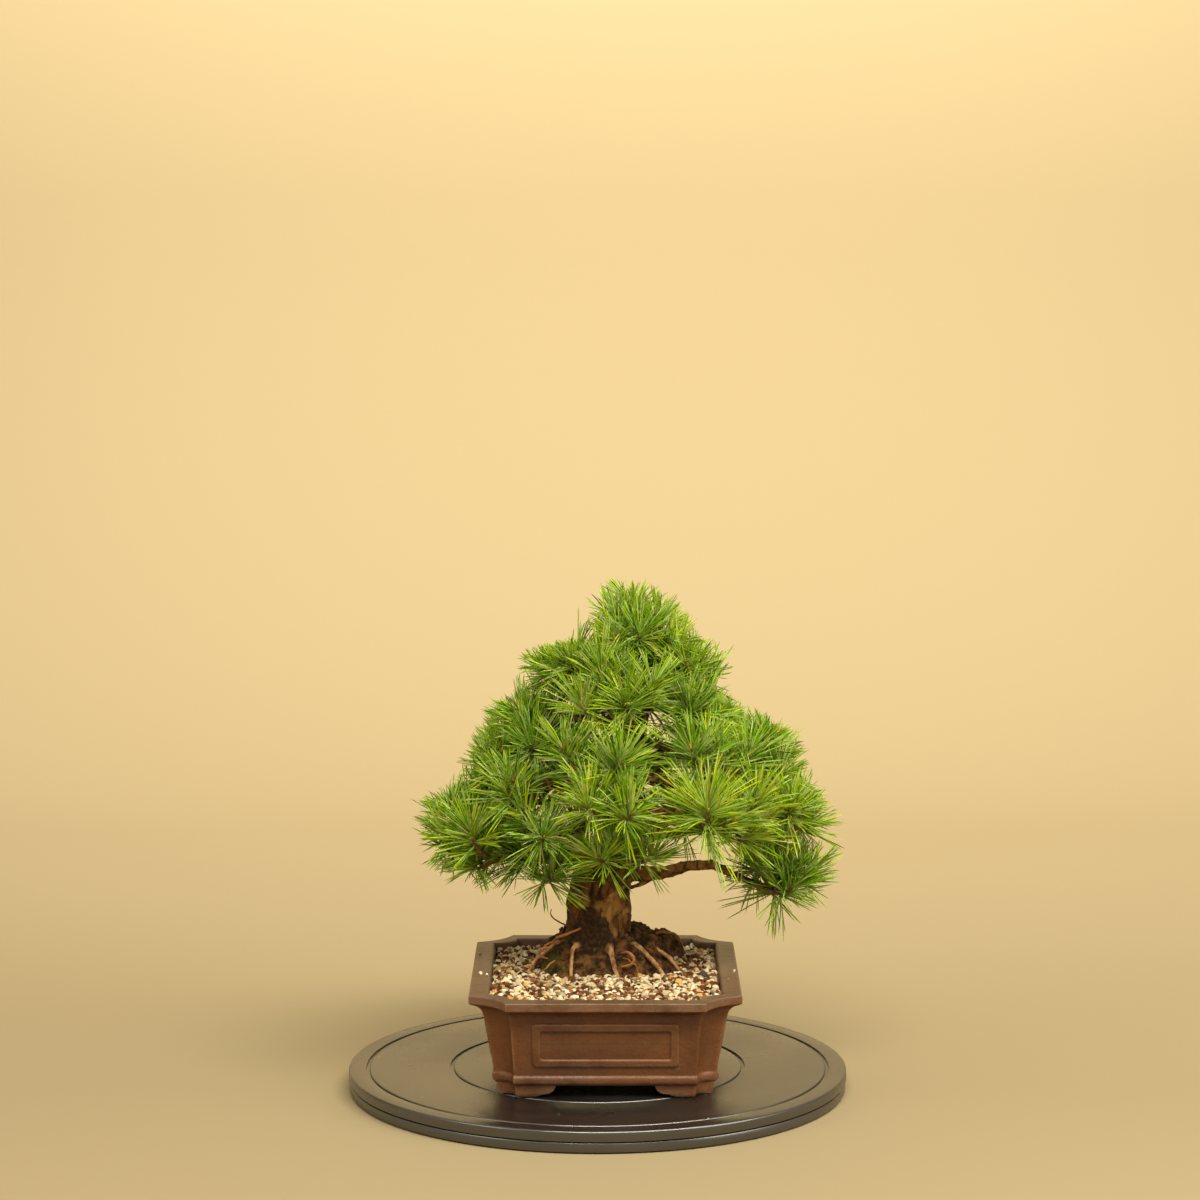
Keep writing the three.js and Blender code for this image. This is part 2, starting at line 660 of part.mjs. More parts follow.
// Each spray's twig: wood from the branch to the spray's butt, then the leafy part.
const sprays = Object.entries(sprayTips).map(([name, places]) => {
  const tips = places.map(pointOf);
  const middle = tips.reduce((sum, tip) => sum.add(tip), new THREE.Vector3()).divideScalar(tips.length);
  const source = nearestWood(middle);
  const reach = source.distanceTo(middle);
  const bare = Math.min(shoot.bareLength, reach * shoot.bareShare);
  const butt = middle.clone().lerp(source, bare / reach);
  butt.z -= bare * shoot.buttDrop;
  return { name, tips, middle, source, butt };
});

function twigLine({ source, butt, middle }) {
  const length = source.distanceTo(butt);
  const towards = middle.clone().sub(butt).normalize();
  const bend = source.clone().lerp(butt, 0.5).addScaledVector(towards, -length * twig.pull);
  bend.z -= length * twig.sag;
  return [
    [...source.toArray(), twig.rootRadius],
    [...bend.toArray(), twig.middleRadius],
    [...butt.toArray(), shoot.coreRadius],
  ];
}

function makeWood(grow = 0) {
  const limbs = [limb(trunkLine, { sides: bark.sides, steps: bark.steps, ridge: makeBark(), grow })];
  for (const line of Object.values(branchLines)) {
    limbs.push(limb(line, { sides: limbSides, steps: line.length - 1, grow }));
  }
  for (const line of rootLines) limbs.push(limb(line, { sides: limbSides, steps: rootSteps, grow }));
  for (const spray of sprays) {
    limbs.push(limb(twigLine(spray), { sides: twig.sides, steps: twig.steps, grow }));
  }
  return Manifold.union(limbs.map(solidOf));
}

place('trunk_and_branches', geometryOf(makeWood()), 'wood', deck);

// Root ball: the old, dark, mossy muck round the roots, with a clump of it behind on the right.
// grow thickens it all over.
function makeMound(grow = 0) {
  const random = seededRandom(mound.seed);
  const lastLevel = mound.rings.length - 1;
  const rings = mound.rings.map(([height, radius], level) => {
    const ends = (level === lastLevel ? grow : 0) - (level === 0 ? grow : 0);
    const knobHeight = level > 0 ? mound.knob : 0;
    return Array.from({ length: mound.sides }, (_, side) => {
      const angle = (side / mound.sides) * 2 * Math.PI;
      const boxed = (Math.abs(Math.cos(angle)) ** mound.squareness
        + Math.abs(Math.sin(angle)) ** mound.squareness) ** (-1 / mound.squareness);
      const spread = radius * boxed + grow + (random() - 0.5) * 2 * mound.knob;
      const x = mound.centreX + spread * mound.stretchX * Math.cos(angle);
      const y = mound.centreY + spread * Math.sin(angle);
      const z = height + (random() - 0.5) * knobHeight + ends;
      return new THREE.Vector3(x, y, z);
    });
  });
  const clump = new THREE.IcosahedronGeometry(mound.clumpRadius + grow, 1);
  clump.translate(mound.clumpX, mound.clumpY, mound.clumpHeight);
  return solidOf(loft(rings, roundFaces)).add(solidOf(clump));
}

const grownWood = makeWood(touchGap);
place('root_mound', geometryOf(makeMound().subtract(grownWood)), 'muck', deck);

// Soil: its top is covered by grit, raised as six-sided grains on a triangular net.
function makeSoil() {
  const random = seededRandom(soil.seed);
  const { grainPitch } = soil;
  const rowPitch = grainPitch * Math.sqrt(0.75);
  const columns = Math.ceil((2 * pot.lipHalfX) / grainPitch);
  const rows = Math.ceil((2 * pot.lipHalfY) / rowPitch);
  const bottom = pot.footHeight;
  const positions = [];
  for (let row = 0; row <= rows; row += 1) {
    for (let column = 0; column <= columns; column += 1) {
      const x = pot.centreX - pot.lipHalfX + (column + (row % 2) / 2) * grainPitch;
      const y = pot.centreY - pot.lipHalfY + row * rowPitch;
      const level = THREE.MathUtils.lerp(soil.frontHeight, soil.backHeight, row / rows);
      const raised = (column - Math.floor(row / 2) - row + 3 * rows) % 3 === 0;
      const lift = raised
        ? soil.grainHeight * THREE.MathUtils.lerp(soil.lowestGrain, 1, random())
        : -soil.hollowDepth * random();
      positions.push(x, y, level + lift);
    }
  }
  const at = (row, column) => row * (columns + 1) + column;
  const index = [];
  for (let row = 0; row < rows; row += 1) {
    for (let column = 0; column < columns; column += 1) {
      const [a, b] = [at(row, column), at(row, column + 1)];
      const [d, c] = [at(row + 1, column), at(row + 1, column + 1)];
      if (row % 2 === 0) index.push(a, b, d, b, c, d);
      else index.push(a, b, c, a, c, d);
    }
  }
  const edge = [];
  for (let column = 0; column < columns; column += 1) edge.push(at(0, column));
  for (let row = 0; row < rows; row += 1) edge.push(at(row, columns));
  for (let column = columns; column > 0; column -= 1) edge.push(at(rows, column));
  for (let row = rows; row > 0; row -= 1) edge.push(at(row, 0));
  const start = positions.length / 3;
  edge.forEach((corner) => positions.push(positions[3 * corner], positions[3 * corner + 1], bottom));
  edge.forEach((corner, side) => {
    const next = (side + 1) % edge.length;
    index.push(corner, start + side, start + next, corner, start + next, edge[next]);
  });
  const floor = edge.map((_, side) => {
    const corner = 3 * (start + side);
    return new THREE.Vector2(positions[corner], positions[corner + 1]);
  });
  for (const [a, b, c] of THREE.ShapeUtils.triangulateShape(floor, [])) {
    index.push(start + c, start + b, start + a);
  }
  const filling = [...potInside].reverse().map(([height, inset], level) => (
    [height + (level === 0 ? 2 * touchGap : touchGap), inset]
  ));
  const screens = [-1, 1].map((side) => makeScreen(side * pot.drainOffset, touchGap));
  return solidOf(loft(potRings(filling, -touchGap)))
    .intersect(solidOf(meshOf(positions, index)))
    .subtract(makeMound(touchGap))
    .subtract(grownWood)
    .subtract(Manifold.union(screens));
}
place('soil', geometryOf(makeSoil()), 'grit', deck);

// Needles
// A straight rod of the crown, thick at one end, used to keep needles clear of everything else.
function rod(start, end, startRadius, endRadius, owner) {
  return { start, end, startRadius, endRadius, owner };
}

// The gap left between two tapered rods, measured at the closest points of their axes.
function gapBetween(first, second) {
  const along = first.end.clone().sub(first.start);
  const other = second.end.clone().sub(second.start);
  const offset = first.start.clone().sub(second.start);
  const a = along.dot(along);
  const e = other.dot(other);
  const b = along.dot(other);
  const c = along.dot(offset);
  const f = other.dot(offset);
  const spread = a * e - b * b;
  let s = spread > 1e-6 ? THREE.MathUtils.clamp((b * f - c * e) / spread, 0, 1) : 0;
  const t = THREE.MathUtils.clamp((b * s + f) / e, 0, 1);
  s = THREE.MathUtils.clamp((b * t - c) / a, 0, 1);
  const pointA = first.start.clone().addScaledVector(along, s);
  const pointB = second.start.clone().addScaledVector(other, t);
  const radiusA = THREE.MathUtils.lerp(first.startRadius, first.endRadius, s);
  const radiusB = THREE.MathUtils.lerp(second.startRadius, second.endRadius, t);
  return pointA.distanceTo(pointB) - radiusA - radiusB;
}

// A curve cut into rods.
function rodsAlong(line, owner, count) {
  const path = pathOf(line);
  const startRadius = line[0][3];
  const endRadius = line[line.length - 1][3];
  return Array.from({ length: count }, (_, piece) => rod(
    path.getPoint(piece / count),
    path.getPoint((piece + 1) / count),
    THREE.MathUtils.lerp(startRadius, endRadius, piece / count),
    THREE.MathUtils.lerp(startRadius, endRadius, (piece + 1) / count),
    owner,
  ));
}

// The shoots of a spray fork just past its butt. Each ends in a brush that points out and up.
function shootLines(spray) {
  const onward = pathOf(twigLine(spray)).getTangentAt(1);
  const start = spray.butt.clone().addScaledVector(onward, touchGap);
  const fork = start.clone().addScaledVector(onward, shoot.forkReach);
  return spray.tips.map((tip, number) => {
    const heading = tip.clone().sub(fork).normalize().addScaledVector(up, shoot.lift).normalize();
    const bend = tip.clone().addScaledVector(heading, -fork.distanceTo(tip) * shoot.bend);
    const line = [
      [...fork.toArray(), shoot.coreRadius - shoot.laterCoreLoss * number],
      [...bend.toArray(), shoot.middleRadius],
      [...tip.toArray(), shoot.tipRadius],
    ];
    return number === 0 ? [[...start.toArray(), shoot.coreRadius], ...line] : line;
  });
}

// Where the rings of a shoot stand on its path: at its foot, at the fork if it carries one, and
// along its brush.
function stopsAlong(line, path) {
  const length = path.getLength();
  const brush = Math.min(shoot.brushLength, length * shoot.brushShare);
  const stops = line.length > 3 ? [0, shoot.forkReach / length] : [0];
  for (let band = 0; band <= shoot.brushBands; band += 1) {
    stops.push(1 - (brush / length) * (1 - band / shoot.brushBands));
  }
  return stops;
}

function shootRods(line, owner) {
  const path = pathOf(line);
  const centres = stopsAlong(line, path).map((stop) => path.getPointAt(stop));
  return centres.slice(1).map((centre, piece) => (
    rod(centres[piece], centre, shoot.coreRadius, shoot.middleRadius, owner)
  ));
}

const rods = [];
for (const line of [trunkLine, ...Object.values(branchLines)]) {
  line.slice(1).forEach((end, piece) => {
    const begin = line[piece];
    rods.push(rod(pointOf(begin), pointOf(end), begin[3] + bark.depth, end[3] + bark.depth, 'wood'));
  });
}
for (const spray of sprays) {
  rods.push(...rodsAlong(twigLine(spray), 'wood', twig.rods));
  spray.shoots = shootLines(spray);
  for (const line of spray.shoots) rods.push(...shootRods(line, spray.name));
}

// One leafy shoot as one skin: rings of three points, each ring turned against the last, with
// every second face of the brush drawn out into a three-sided needle.
function makeShoot(line, owner, random) {
  const path = pathOf(line);
  const stops = stopsAlong(line, path);
  const bareBands = stops.length - 1 - shoot.brushBands;
  const rings = stops.map((stop, number) => {
    const centre = path.getPointAt(stop);
    const heading = path.getTangentAt(stop);
    const side = new THREE.Vector3().crossVectors(heading, up).normalize();
    const other = new THREE.Vector3().crossVectors(heading, side);
    const radius = THREE.MathUtils.lerp(shoot.coreRadius, shoot.tipRadius, stop);
    const corners = Array.from({ length: 3 }, (_, corner) => {
      const angle = (corner / 3) * 2 * Math.PI + number * shoot.ringTurn;
      return centre.clone()
        .addScaledVector(side, radius * Math.cos(angle))
        .addScaledVector(other, radius * Math.sin(angle));
    });
    return { centre, heading, corners };
  });
  const corners = rings.flatMap((ring) => ring.corners);
  const faces = [[2, 1, 0]];
  const drawn = [];
  for (let band = 0; band < rings.length - 1; band += 1) {
    for (let corner = 0; corner < 3; corner += 1) {
      const next = (corner + 1) % 3;
      const [a, b] = [3 * band + corner, 3 * band + next];
      const [c, d] = [3 * band + 3 + corner, 3 * band + 3 + next];
      faces.push([c, b, d]);
      faces.push([a, b, c]);
      if (band >= bareBands) drawn.push({ face: faces.length - 1, band });
    }
  }
  const lastRing = 3 * (rings.length - 1);
  faces.push([lastRing, lastRing + 1, lastRing + 2]);
  drawn.push({ face: faces.length - 1, band: rings.length - 1 });
  const normalOf = (face) => {
    const [a, b, c] = face.map((corner) => corners[corner]);
    return new THREE.Vector3().crossVectors(b.clone().sub(a), c.clone().sub(a)).normalize();
  };
  const normals = faces.map(normalOf);
  const beside = faces.map((face, number) => normals.filter((_, other) => (
    other !== number && faces[other].filter((corner) => face.includes(corner)).length === 2
  )));
  const spikes = [];
  for (const { face, band } of drawn.reverse()) {
    const [a, b, c] = faces[face].map((corner) => corners[corner]);
    const root = a.clone().add(b).add(c).divideScalar(3);
    const { heading, centre } = rings[band];
    const back = (rings.length - 1 - band) / shoot.brushBands;
    const outward = root.clone().sub(centre);
    outward.addScaledVector(heading, -outward.dot(heading));
    const place = { root, heading, outward, back, normal: normals[face], beside: beside[face] };
    const tip = aimNeedle(place, owner, random);
    if (tip) spikes.push({ face, tip });
  }
  const keptFaces = faces.filter((_, number) => !spikes.some((spike) => spike.face === number));
  for (const { face, tip } of spikes) {
    const [a, b, c] = faces[face];
    corners.push(tip);
    const top = corners.length - 1;
    keptFaces.push([a, b, top], [b, c, top], [c, a, top]);
  }
  return meshOf(corners.flatMap((corner) => corner.toArray()), keptFaces.flat());
}

// Which way a needle points: along the shoot at its bud, out to the side at its back, with more
// stray for each failed try.
function needleDirection({ heading, outward, back }, stray, random) {
  const even = () => random() - 0.5;
  const direction = heading.clone();
  if (outward.lengthSq() < needles.nearNought) {
    const spread = 2 * needles.endSpread * (needles.endSpread + stray);
    return direction.add(new THREE.Vector3(even(), even(), even()).multiplyScalar(spread)).normalize();
  }
  const opening = THREE.MathUtils.lerp(needles.tipAngle, needles.backAngle, back ** needles.openingCurve);
  const wander = even() * (needles.angleSpread + needles.strayAngle * stray);
  const angle = THREE.MathUtils.degToRad(opening + wander);
  const turn = even() * (needles.turnSpread + needles.strayTurn * stray);
  const radial = outward.clone().normalize().applyAxisAngle(heading, turn);
  direction.multiplyScalar(Math.cos(angle)).addScaledVector(radial, Math.sin(angle));
  return direction.addScaledVector(up, needles.lift * (1 - stray / 2)).normalize();
}

function isInCrown({ x, y, z }) {
  const seen = z + crown.lean * y;
  const upper = crownOutline.findIndex(([height]) => height > seen);
  if (upper < 1 || y < crown.front || y > crown.back) return false;
  const [lowHeight, ...low] = crownOutline[upper - 1];
  const [highHeight, ...high] = crownOutline[upper];
  const along = (seen - lowHeight) / (highHeight - lowHeight);
  const [left, right] = [0, 1].map((side) => THREE.MathUtils.lerp(low[side], high[side], along));
  return x > left && x < right;
}

// How far a needle may reach before it leaves the crown's outline.
function roomAlong(root, direction) {
  const longest = needles.length + needles.lengthSpread;
  const point = root.clone();
  let room = 0;
  while (room < longest && isInCrown(point.addScaledVector(direction, crown.step))) room += crown.step;
  return room;
}

function isClear(spike, upper) {
  return rods.every((other) => {
    if (other.owner !== spike.owner) return gapBetween(spike, other) > needles.clearance;
    if (other.needle) return gapBetween(upper, other.upper) > needles.clearOfOwn;
    return gapBetween(upper, other) > needles.clearOfShoot;
  });
}

// The tip of one needle. A needle that would meet anything else is turned and shortened until
// it is clear, or left out.
function aimNeedle(place, owner, random) {
  const { root, normal, beside } = place;
  for (let attempt = 0; attempt < needles.tries; attempt += 1) {
    const stray = attempt / needles.tries;
    const direction = needleDirection(place, stray, random);
    const stands = direction.dot(normal) > needles.leastStand
      && beside.every((other) => direction.dot(other) > needles.leastBeside);
    const drawn = needles.length + (random() - 0.5) * 2 * needles.lengthSpread;
    const reach = Math.min(drawn * (1 - needles.shortening * stray), roomAlong(root, direction));
    if (!stands || reach < needles.shortest) continue;
    const tip = root.clone().addScaledVector(direction, reach);
    const free = root.clone().lerp(tip, needles.rootPart);
    const freeRadius = needles.rootRadius * (1 - needles.rootPart);
    const spike = rod(root, tip, needles.rootRadius, needles.pointRadius, owner);
    const upper = rod(free, tip, freeRadius, needles.pointRadius, owner);
    if (isClear(spike, upper)) {
      rods.push({ ...spike, needle: true, upper });
      return tip;
    }
  }
  return null;
}

const random = seededRandom(needles.seed);
for (const spray of sprays) {
  const shoots = spray.shoots.map((line) => makeShoot(line, spray.name, random));
  place(`spray_${spray.name}`, geometryOf(Manifold.union(shoots.map(solidOf))), 'foliage', deck);
}

export default bonsai;
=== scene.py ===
# A small white pine in an unglazed pot on a swivelling turntable, dressed piece by piece round
# the fixed frame. Metres, X to the right, Y to the back, Z up. The deck of the turntable lies
# at 18 mm, and sizes that are given in millimetres are turned into metres by MM.
import math

import bmesh
import bpy
import numpy as np
from mathutils import Matrix, Vector, noise
from mathutils.bvhtree import BVHTree


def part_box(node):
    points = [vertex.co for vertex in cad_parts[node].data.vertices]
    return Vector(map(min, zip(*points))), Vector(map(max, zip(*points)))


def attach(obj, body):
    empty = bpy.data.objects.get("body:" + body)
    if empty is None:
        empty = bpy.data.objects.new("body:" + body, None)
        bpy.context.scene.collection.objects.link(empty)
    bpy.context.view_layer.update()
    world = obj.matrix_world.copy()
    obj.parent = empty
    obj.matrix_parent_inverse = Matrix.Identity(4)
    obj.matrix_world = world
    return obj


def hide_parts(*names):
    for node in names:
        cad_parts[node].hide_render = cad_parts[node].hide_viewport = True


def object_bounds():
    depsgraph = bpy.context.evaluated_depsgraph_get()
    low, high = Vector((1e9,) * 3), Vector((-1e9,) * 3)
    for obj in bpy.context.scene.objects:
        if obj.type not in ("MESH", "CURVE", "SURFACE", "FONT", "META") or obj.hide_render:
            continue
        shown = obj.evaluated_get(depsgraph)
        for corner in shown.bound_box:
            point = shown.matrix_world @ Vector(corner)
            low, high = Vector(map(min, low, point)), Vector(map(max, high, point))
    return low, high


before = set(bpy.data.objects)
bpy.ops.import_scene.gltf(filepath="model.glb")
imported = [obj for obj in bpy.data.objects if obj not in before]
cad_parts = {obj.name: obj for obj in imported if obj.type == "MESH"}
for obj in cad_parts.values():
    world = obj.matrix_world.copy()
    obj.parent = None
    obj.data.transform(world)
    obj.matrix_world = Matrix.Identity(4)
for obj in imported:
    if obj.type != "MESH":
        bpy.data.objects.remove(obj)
cad_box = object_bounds()
MM = 0.001
UP = Vector((0, 0, 1))
deck_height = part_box("turntable_top")[1].z


# The place where it stands: a pale matt floor that turns up into a pale wall in one soft bend,
# lit by a wide warm panel above the front, weaker ones from both sides, one for the wall and
# the room's glow. The camera stands above the crown and looks a little down.
camera_place = Vector((0.002, -2.762, 0.734))
camera_pitch = math.radians(7)
camera_lens = 105.3
floor_half_width = 4.0
floor_front = -3.4
wall_bend_start = 1.1
wall_bend_radius = 0.7
wall_top = 2.6
bend_steps = 14
wall_color = (0.34, 0.274, 0.158, 1)
lamp_color = (1, 0.93, 0.8)
room_color, room_strength = (1, 0.9, 0.7, 1), 0.48


def feed(tree, node, inputs):
    """Links the sockets among the inputs to a node, sets the other values, returns the node."""
    for name, value in inputs.items():
        if isinstance(value, bpy.types.NodeSocket):
            tree.links.new(value, node.inputs[name])
        else:
            node.inputs[name].default_value = value
    return node


def add_node(tree, kind, inputs=None, **settings):
    made = tree.nodes.new("ShaderNode" + kind)
    for name, value in settings.items():
        setattr(made, name, value)
    return feed(tree, made, inputs or {})


def new_material(name):
    """An empty material with its Principled shader. Returns the material, its tree and shader."""
    material = bpy.data.materials.new(name)
    material.use_nodes = True
    tree = material.node_tree
    return material, tree, tree.nodes["Principled BSDF"]


def add_object(name, data):
    made = bpy.data.objects.new(name, data)
    bpy.context.scene.collection.objects.link(made)
    return made


def add_area_light(name, place, target, size, power):
    light = bpy.data.lights.new(name, "AREA")
    light.shape = "RECTANGLE"
    light.size, light.size_y = size
    light.energy = power
    light.color = lamp_color
    lamp = add_object(name, light)
    lamp.location = place
    lamp.rotation_euler = (Vector(target) - Vector(place)).to_track_quat("-Z", "Y").to_euler()


def mesh_from(name, made):
    mesh = bpy.data.meshes.new(name)
    made.to_mesh(mesh)
    made.free()
    return mesh


def draw_out(made, extruded, way):
    """Moves the new end of an extrusion, and turns the faces outward."""
    ends = [item for item in extruded["geom"] if isinstance(item, bmesh.types.BMVert)]
    bmesh.ops.translate(made, verts=ends, vec=way)
    bmesh.ops.recalc_face_normals(made, faces=made.faces)


def make_backdrop():
    made = bmesh.new()
    line = [(floor_front, 0.0), (wall_bend_start, 0.0)]
    for step in range(1, bend_steps + 1):
        angle = step / bend_steps * math.pi / 2
        line.append((wall_bend_start + wall_bend_radius * math.sin(angle),
                     wall_bend_radius * (1 - math.cos(angle))))
    line.append((wall_bend_start + wall_bend_radius, wall_top))
    points = [made.verts.new((-floor_half_width, y, z)) for y, z in line]
    edges = [made.edges.new(pair) for pair in zip(points, points[1:])]
    draw_out(made, bmesh.ops.extrude_edge_only(made, edges=edges), (2 * floor_half_width, 0, 0))
    mesh = mesh_from("backdrop", made)
    mesh.shade_smooth()
    material, tree, shader = new_material("pale backdrop")
    feed(tree, shader, {"Base Color": wall_color, "Roughness": 0.95, "Specular IOR Level": 0.1})
    mesh.materials.append(material)
    add_object("backdrop", mesh)


camera_data = bpy.data.cameras.new("camera")
camera_data.lens = camera_lens
camera_data.sensor_width = 36
camera_data.clip_end = 30
camera = add_object("camera", camera_data)
camera.location = camera_place
camera.rotation_euler = (math.pi / 2 - camera_pitch, 0, 0)
bpy.context.scene.camera = camera

make_backdrop()
add_area_light("key light", (0.55, -1.6, 2.35), (0, 0, 0.2), (3.0, 0.7), 120)
add_area_light("right light", (2.1, -1.1, 1.0), (0, 0, 0.2), (1.3, 1.0), 22)
add_area_light("left light", (-2.1, -1.5, 1.4), (0, 0, 0.25), (1.2, 1.2), 13)
add_area_light("wall light", (0, 0.7, 1.9), (0, 1.9, 1.45), (2.4, 0.8), 77)
bpy.context.scene.view_settings.view_transform = "Standard"
world = bpy.data.worlds.new("room glow")
bpy.context.scene.world = world
world.use_nodes = True
feed(world.node_tree, world.node_tree.nodes["Background"],
     {"Color": room_color, "Strength": room_strength})


# Turntable: two turned-looking moulded plates of satin black plastic, 40 cm across, the upper
# one with two ring grooves. Between them a cage of steel balls runs in two races, and a pin
# holds them together. Every round part is a profile spun about the swivel axis.
plate_steps = 180
small_steps = 48
plate_black = (0.0075, 0.0066, 0.006, 1)
plate_film = (0.0125, 0.011, 0.0095, 1)
dust_color = (0.22, 0.19, 0.15, 1)
speck_share, patch_detail = 0.24, 4.0
relief_finer, relief_weaker = 4.0, 0.4
# Outlines as (radius, height) in millimetres.
upper_plate = [
    (0, 14.3), (5.3, 14.3), (5.3, 9.4), (66.3, 9.4), (66.3, 12.3), (73.7, 12.3), (73.7, 9.4),
    (196, 9.4), (196.5, 10), (197.3, 10), (197.8, 9.4), (198.9, 9.4), (199.6, 9.7),
    (200, 10.4), (200, 16.2), (199.8, 17), (199.3, 17.6), (198.4, 18), (186.2, 18),
    (185.9, 17.9), (185.8, 17.6), (185.7, 16.5), (183.3, 16.5), (183.2, 17.1), (182.9, 17.6),
    (182.4, 17.9), (181.9, 18), (118.7, 18), (118.4, 17.9), (118.3, 17.6), (118.2, 16.5),
    (115.8, 16.5), (115.7, 17.1), (115.4, 17.6), (114.9, 17.9), (114.4, 18), (0, 18),
]
lower_plate = [
    (9.3, 1), (160, 1), (160, 1.8), (180, 1.8), (180, 1), (197.8, 1), (198.8, 1.4),
    (199.2, 2.4), (199.2, 7.9), (198.9, 8.4), (198.3, 8.6), (73.7, 8.6), (73.7, 5.7),
    (66.3, 5.7), (66.3, 8.6), (5.3, 8.6), (5.3, 3.5), (9.3, 3.5),
]
swivel_pin = [
    (0, 1.2), (8.4, 1.2), (9, 1.8), (9, 3.2), (5, 3.2), (5, 13.4), (4.4, 14), (0, 14),
]
ball_cage = [(68, 8.1), (72, 8.1), (72, 9.9), (68, 9.9)]
ball_pitch, ball_radius, ball_count = 70, 3, 10
rubber_pad = [(0, 0), (7.2, 0), (8, 0.8), (8, 2.4), (0, 2.4)]
pad_ring, pad_count = 170, 4


def turned(profile, steps):
    """A body of revolution about Z. An outline that starts on the axis ends on it."""
    made = bmesh.new()
    points = [made.verts.new((radius * MM, 0, height * MM)) for radius, height in profile]
    around = points if profile[0][0] == 0 else points + points[:1]
    edges = [made.edges.new(pair) for pair in zip(around, around[1:])]
    bmesh.ops.spin(made, geom=points + edges, cent=(0, 0, 0), axis=(0, 0, 1),
                   angle=2 * math.pi, steps=steps, use_merge=True)
    bmesh.ops.remove_doubles(made, verts=made.verts, dist=1e-6)
    bmesh.ops.dissolve_degenerate(made, edges=made.edges, dist=1e-7)
    bmesh.ops.recalc_face_normals(made, faces=made.faces)
    return made


def finish_piece(name, mesh, materials, body, nodes, sharp=35):
    """Makes a mesh a piece that rides on a body and stands for the named nodes."""
    for material in materials:
        mesh.materials.append(material)
    mesh.shade_smooth()
    mesh.set_sharp_from_angle(angle=math.radians(sharp))
    piece = add_object(name, mesh)
    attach(piece, body)
    if nodes:
        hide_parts(*nodes)
    return piece


def shader_group(name, inputs, outputs):
    """A node group. Inputs are named with their defaults. Outputs are numbers, or a Normal."""
    tree = bpy.data.node_groups.new(name, "ShaderNodeTree")
    for socket, default in inputs.items():
        kind = "NodeSocketVector" if isinstance(default, tuple) else "NodeSocketFloat"
        made = tree.interface.new_socket(socket, in_out="INPUT", socket_type=kind)
        made.default_value = default
    for socket in outputs:
        kind = "NodeSocketVector" if socket == "Normal" else "NodeSocketFloat"
        tree.interface.new_socket(socket, in_out="OUTPUT", socket_type=kind)
    given, result = tree.nodes.new("NodeGroupInput"), tree.nodes.new("NodeGroupOutput")
    return tree, given.outputs, result


def place_group(tree, group, inputs):
    return add_node(tree, "Group", inputs, node_tree=group).outputs


def object_place(tree):
    return add_node(tree, "TexCoord").outputs["Object"]


def mixed(tree, share, first, second):
    """The mix of two colours by a share. Each may be a value or a socket."""
    return add_node(tree, "Mix", {0: share, 6: first, 7: second}, data_type="RGBA").outputs[2]


def maths(tree, operation, *values, **settings):
    """The result of one operation on numbers. Each may be a value or a socket."""
    inputs = dict(enumerate(values))
    return add_node(tree, "Math", inputs, operation=operation, **settings).outputs[0]


def times(tree, first, second):
    return maths(tree, "MULTIPLY", first, second)


def cloudy(tree, place, scale, detail):
    inputs = {"Vector": place, "Scale": scale, "Detail": detail}
    return add_node(tree, "TexNoise", inputs).outputs["Fac"]


def ranged(tree, value, low, high, start=0.0, end=1.0):
    """A value moved from the range of low to high onto the range of start to end."""
    return add_node(tree, "MapRange", {
        "Value": value, "From Min": low, "From Max": high, "To Min": start, "To Max": end,
    }).outputs["Result"]


def make_mottle_group():
    """Soft patches: a mask that goes from 0 to 1 where a noise rises from Low to High."""
    inputs = {"Vector": (0, 0, 0), "Scale": 50, "Low": 0.4, "High": 0.6}
    tree, given, result = shader_group("mottle", inputs, ["Mask"])
    cloud = cloudy(tree, given["Vector"], given["Scale"], patch_detail)
    mask = add_node(tree, "MapRange", {
        "Value": cloud, "From Min": given["Low"], "From Max": given["High"],
    }, interpolation_type="SMOOTHSTEP")
    feed(tree, result, {"Mask": mask.outputs["Result"]})
    return tree


def make_relief_group():
    """Fine roughness of a surface, as a normal: a coarse noise and a finer, weaker one."""
    inputs = {"Vector": (0, 0, 0), "Scale": 200, "Height": 0.3}
    tree, given, result = shader_group("relief", inputs, ["Normal"])
    coarse = cloudy(tree, given["Vector"], given["Scale"], 3.0)
    fine = cloudy(tree, given["Vector"], times(tree, given["Scale"], relief_finer), 2.0)
    bump = add_node(tree, "Bump", {
        "Height": maths(tree, "MULTIPLY_ADD", fine, relief_weaker, coarse),
        "Strength": 1.0, "Distance": given["Height"],
    })
    feed(tree, result, {"Normal": bump.outputs["Normal"]})
    return tree


def make_dust_group():
    """Settled dust: sparse specks, and a film that lies in soft patches."""
    inputs = {"Vector": (0, 0, 0), "Scale": 90, "Size": 0.1}
    tree, given, result = shader_group("dust", inputs, ["Specks", "Film"])
    cells = add_node(tree, "TexVoronoi", {"Vector": given["Vector"], "Scale": given["Scale"]})
    near = maths(tree, "LESS_THAN", cells.outputs["Distance"], given["Size"])
    drawn = add_node(tree, "SeparateColor", {"Color": cells.outputs["Color"]})
    some = maths(tree, "LESS_THAN", drawn.outputs["Red"], speck_share)
    feed(tree, result, {"Specks": times(tree, near, some),
                        "Film": patches(tree, given["Vector"], 9.0, 0.35, 0.75)})
    return tree


def patches(tree, place, scale, low, high):
    """The mask of a mottle of its own scale, soft where low and high lie far apart."""
    return place_group(tree, mottle, {
        "Vector": place, "Scale": scale, "Low": low, "High": high,
    })["Mask"]


def finish_surface(tree, shader, place, color, scale, height, others):
    """Gives a shader its colour, a relief of a scale and height, and its other inputs."""
    grain = place_group(tree, relief, {"Vector": place, "Scale": scale, "Height": height})
    feed(tree, shader, {"Base Color": color, "Normal": grain["Normal"], **others})


mottle = make_mottle_group()
relief = make_relief_group()
dust = make_dust_group()


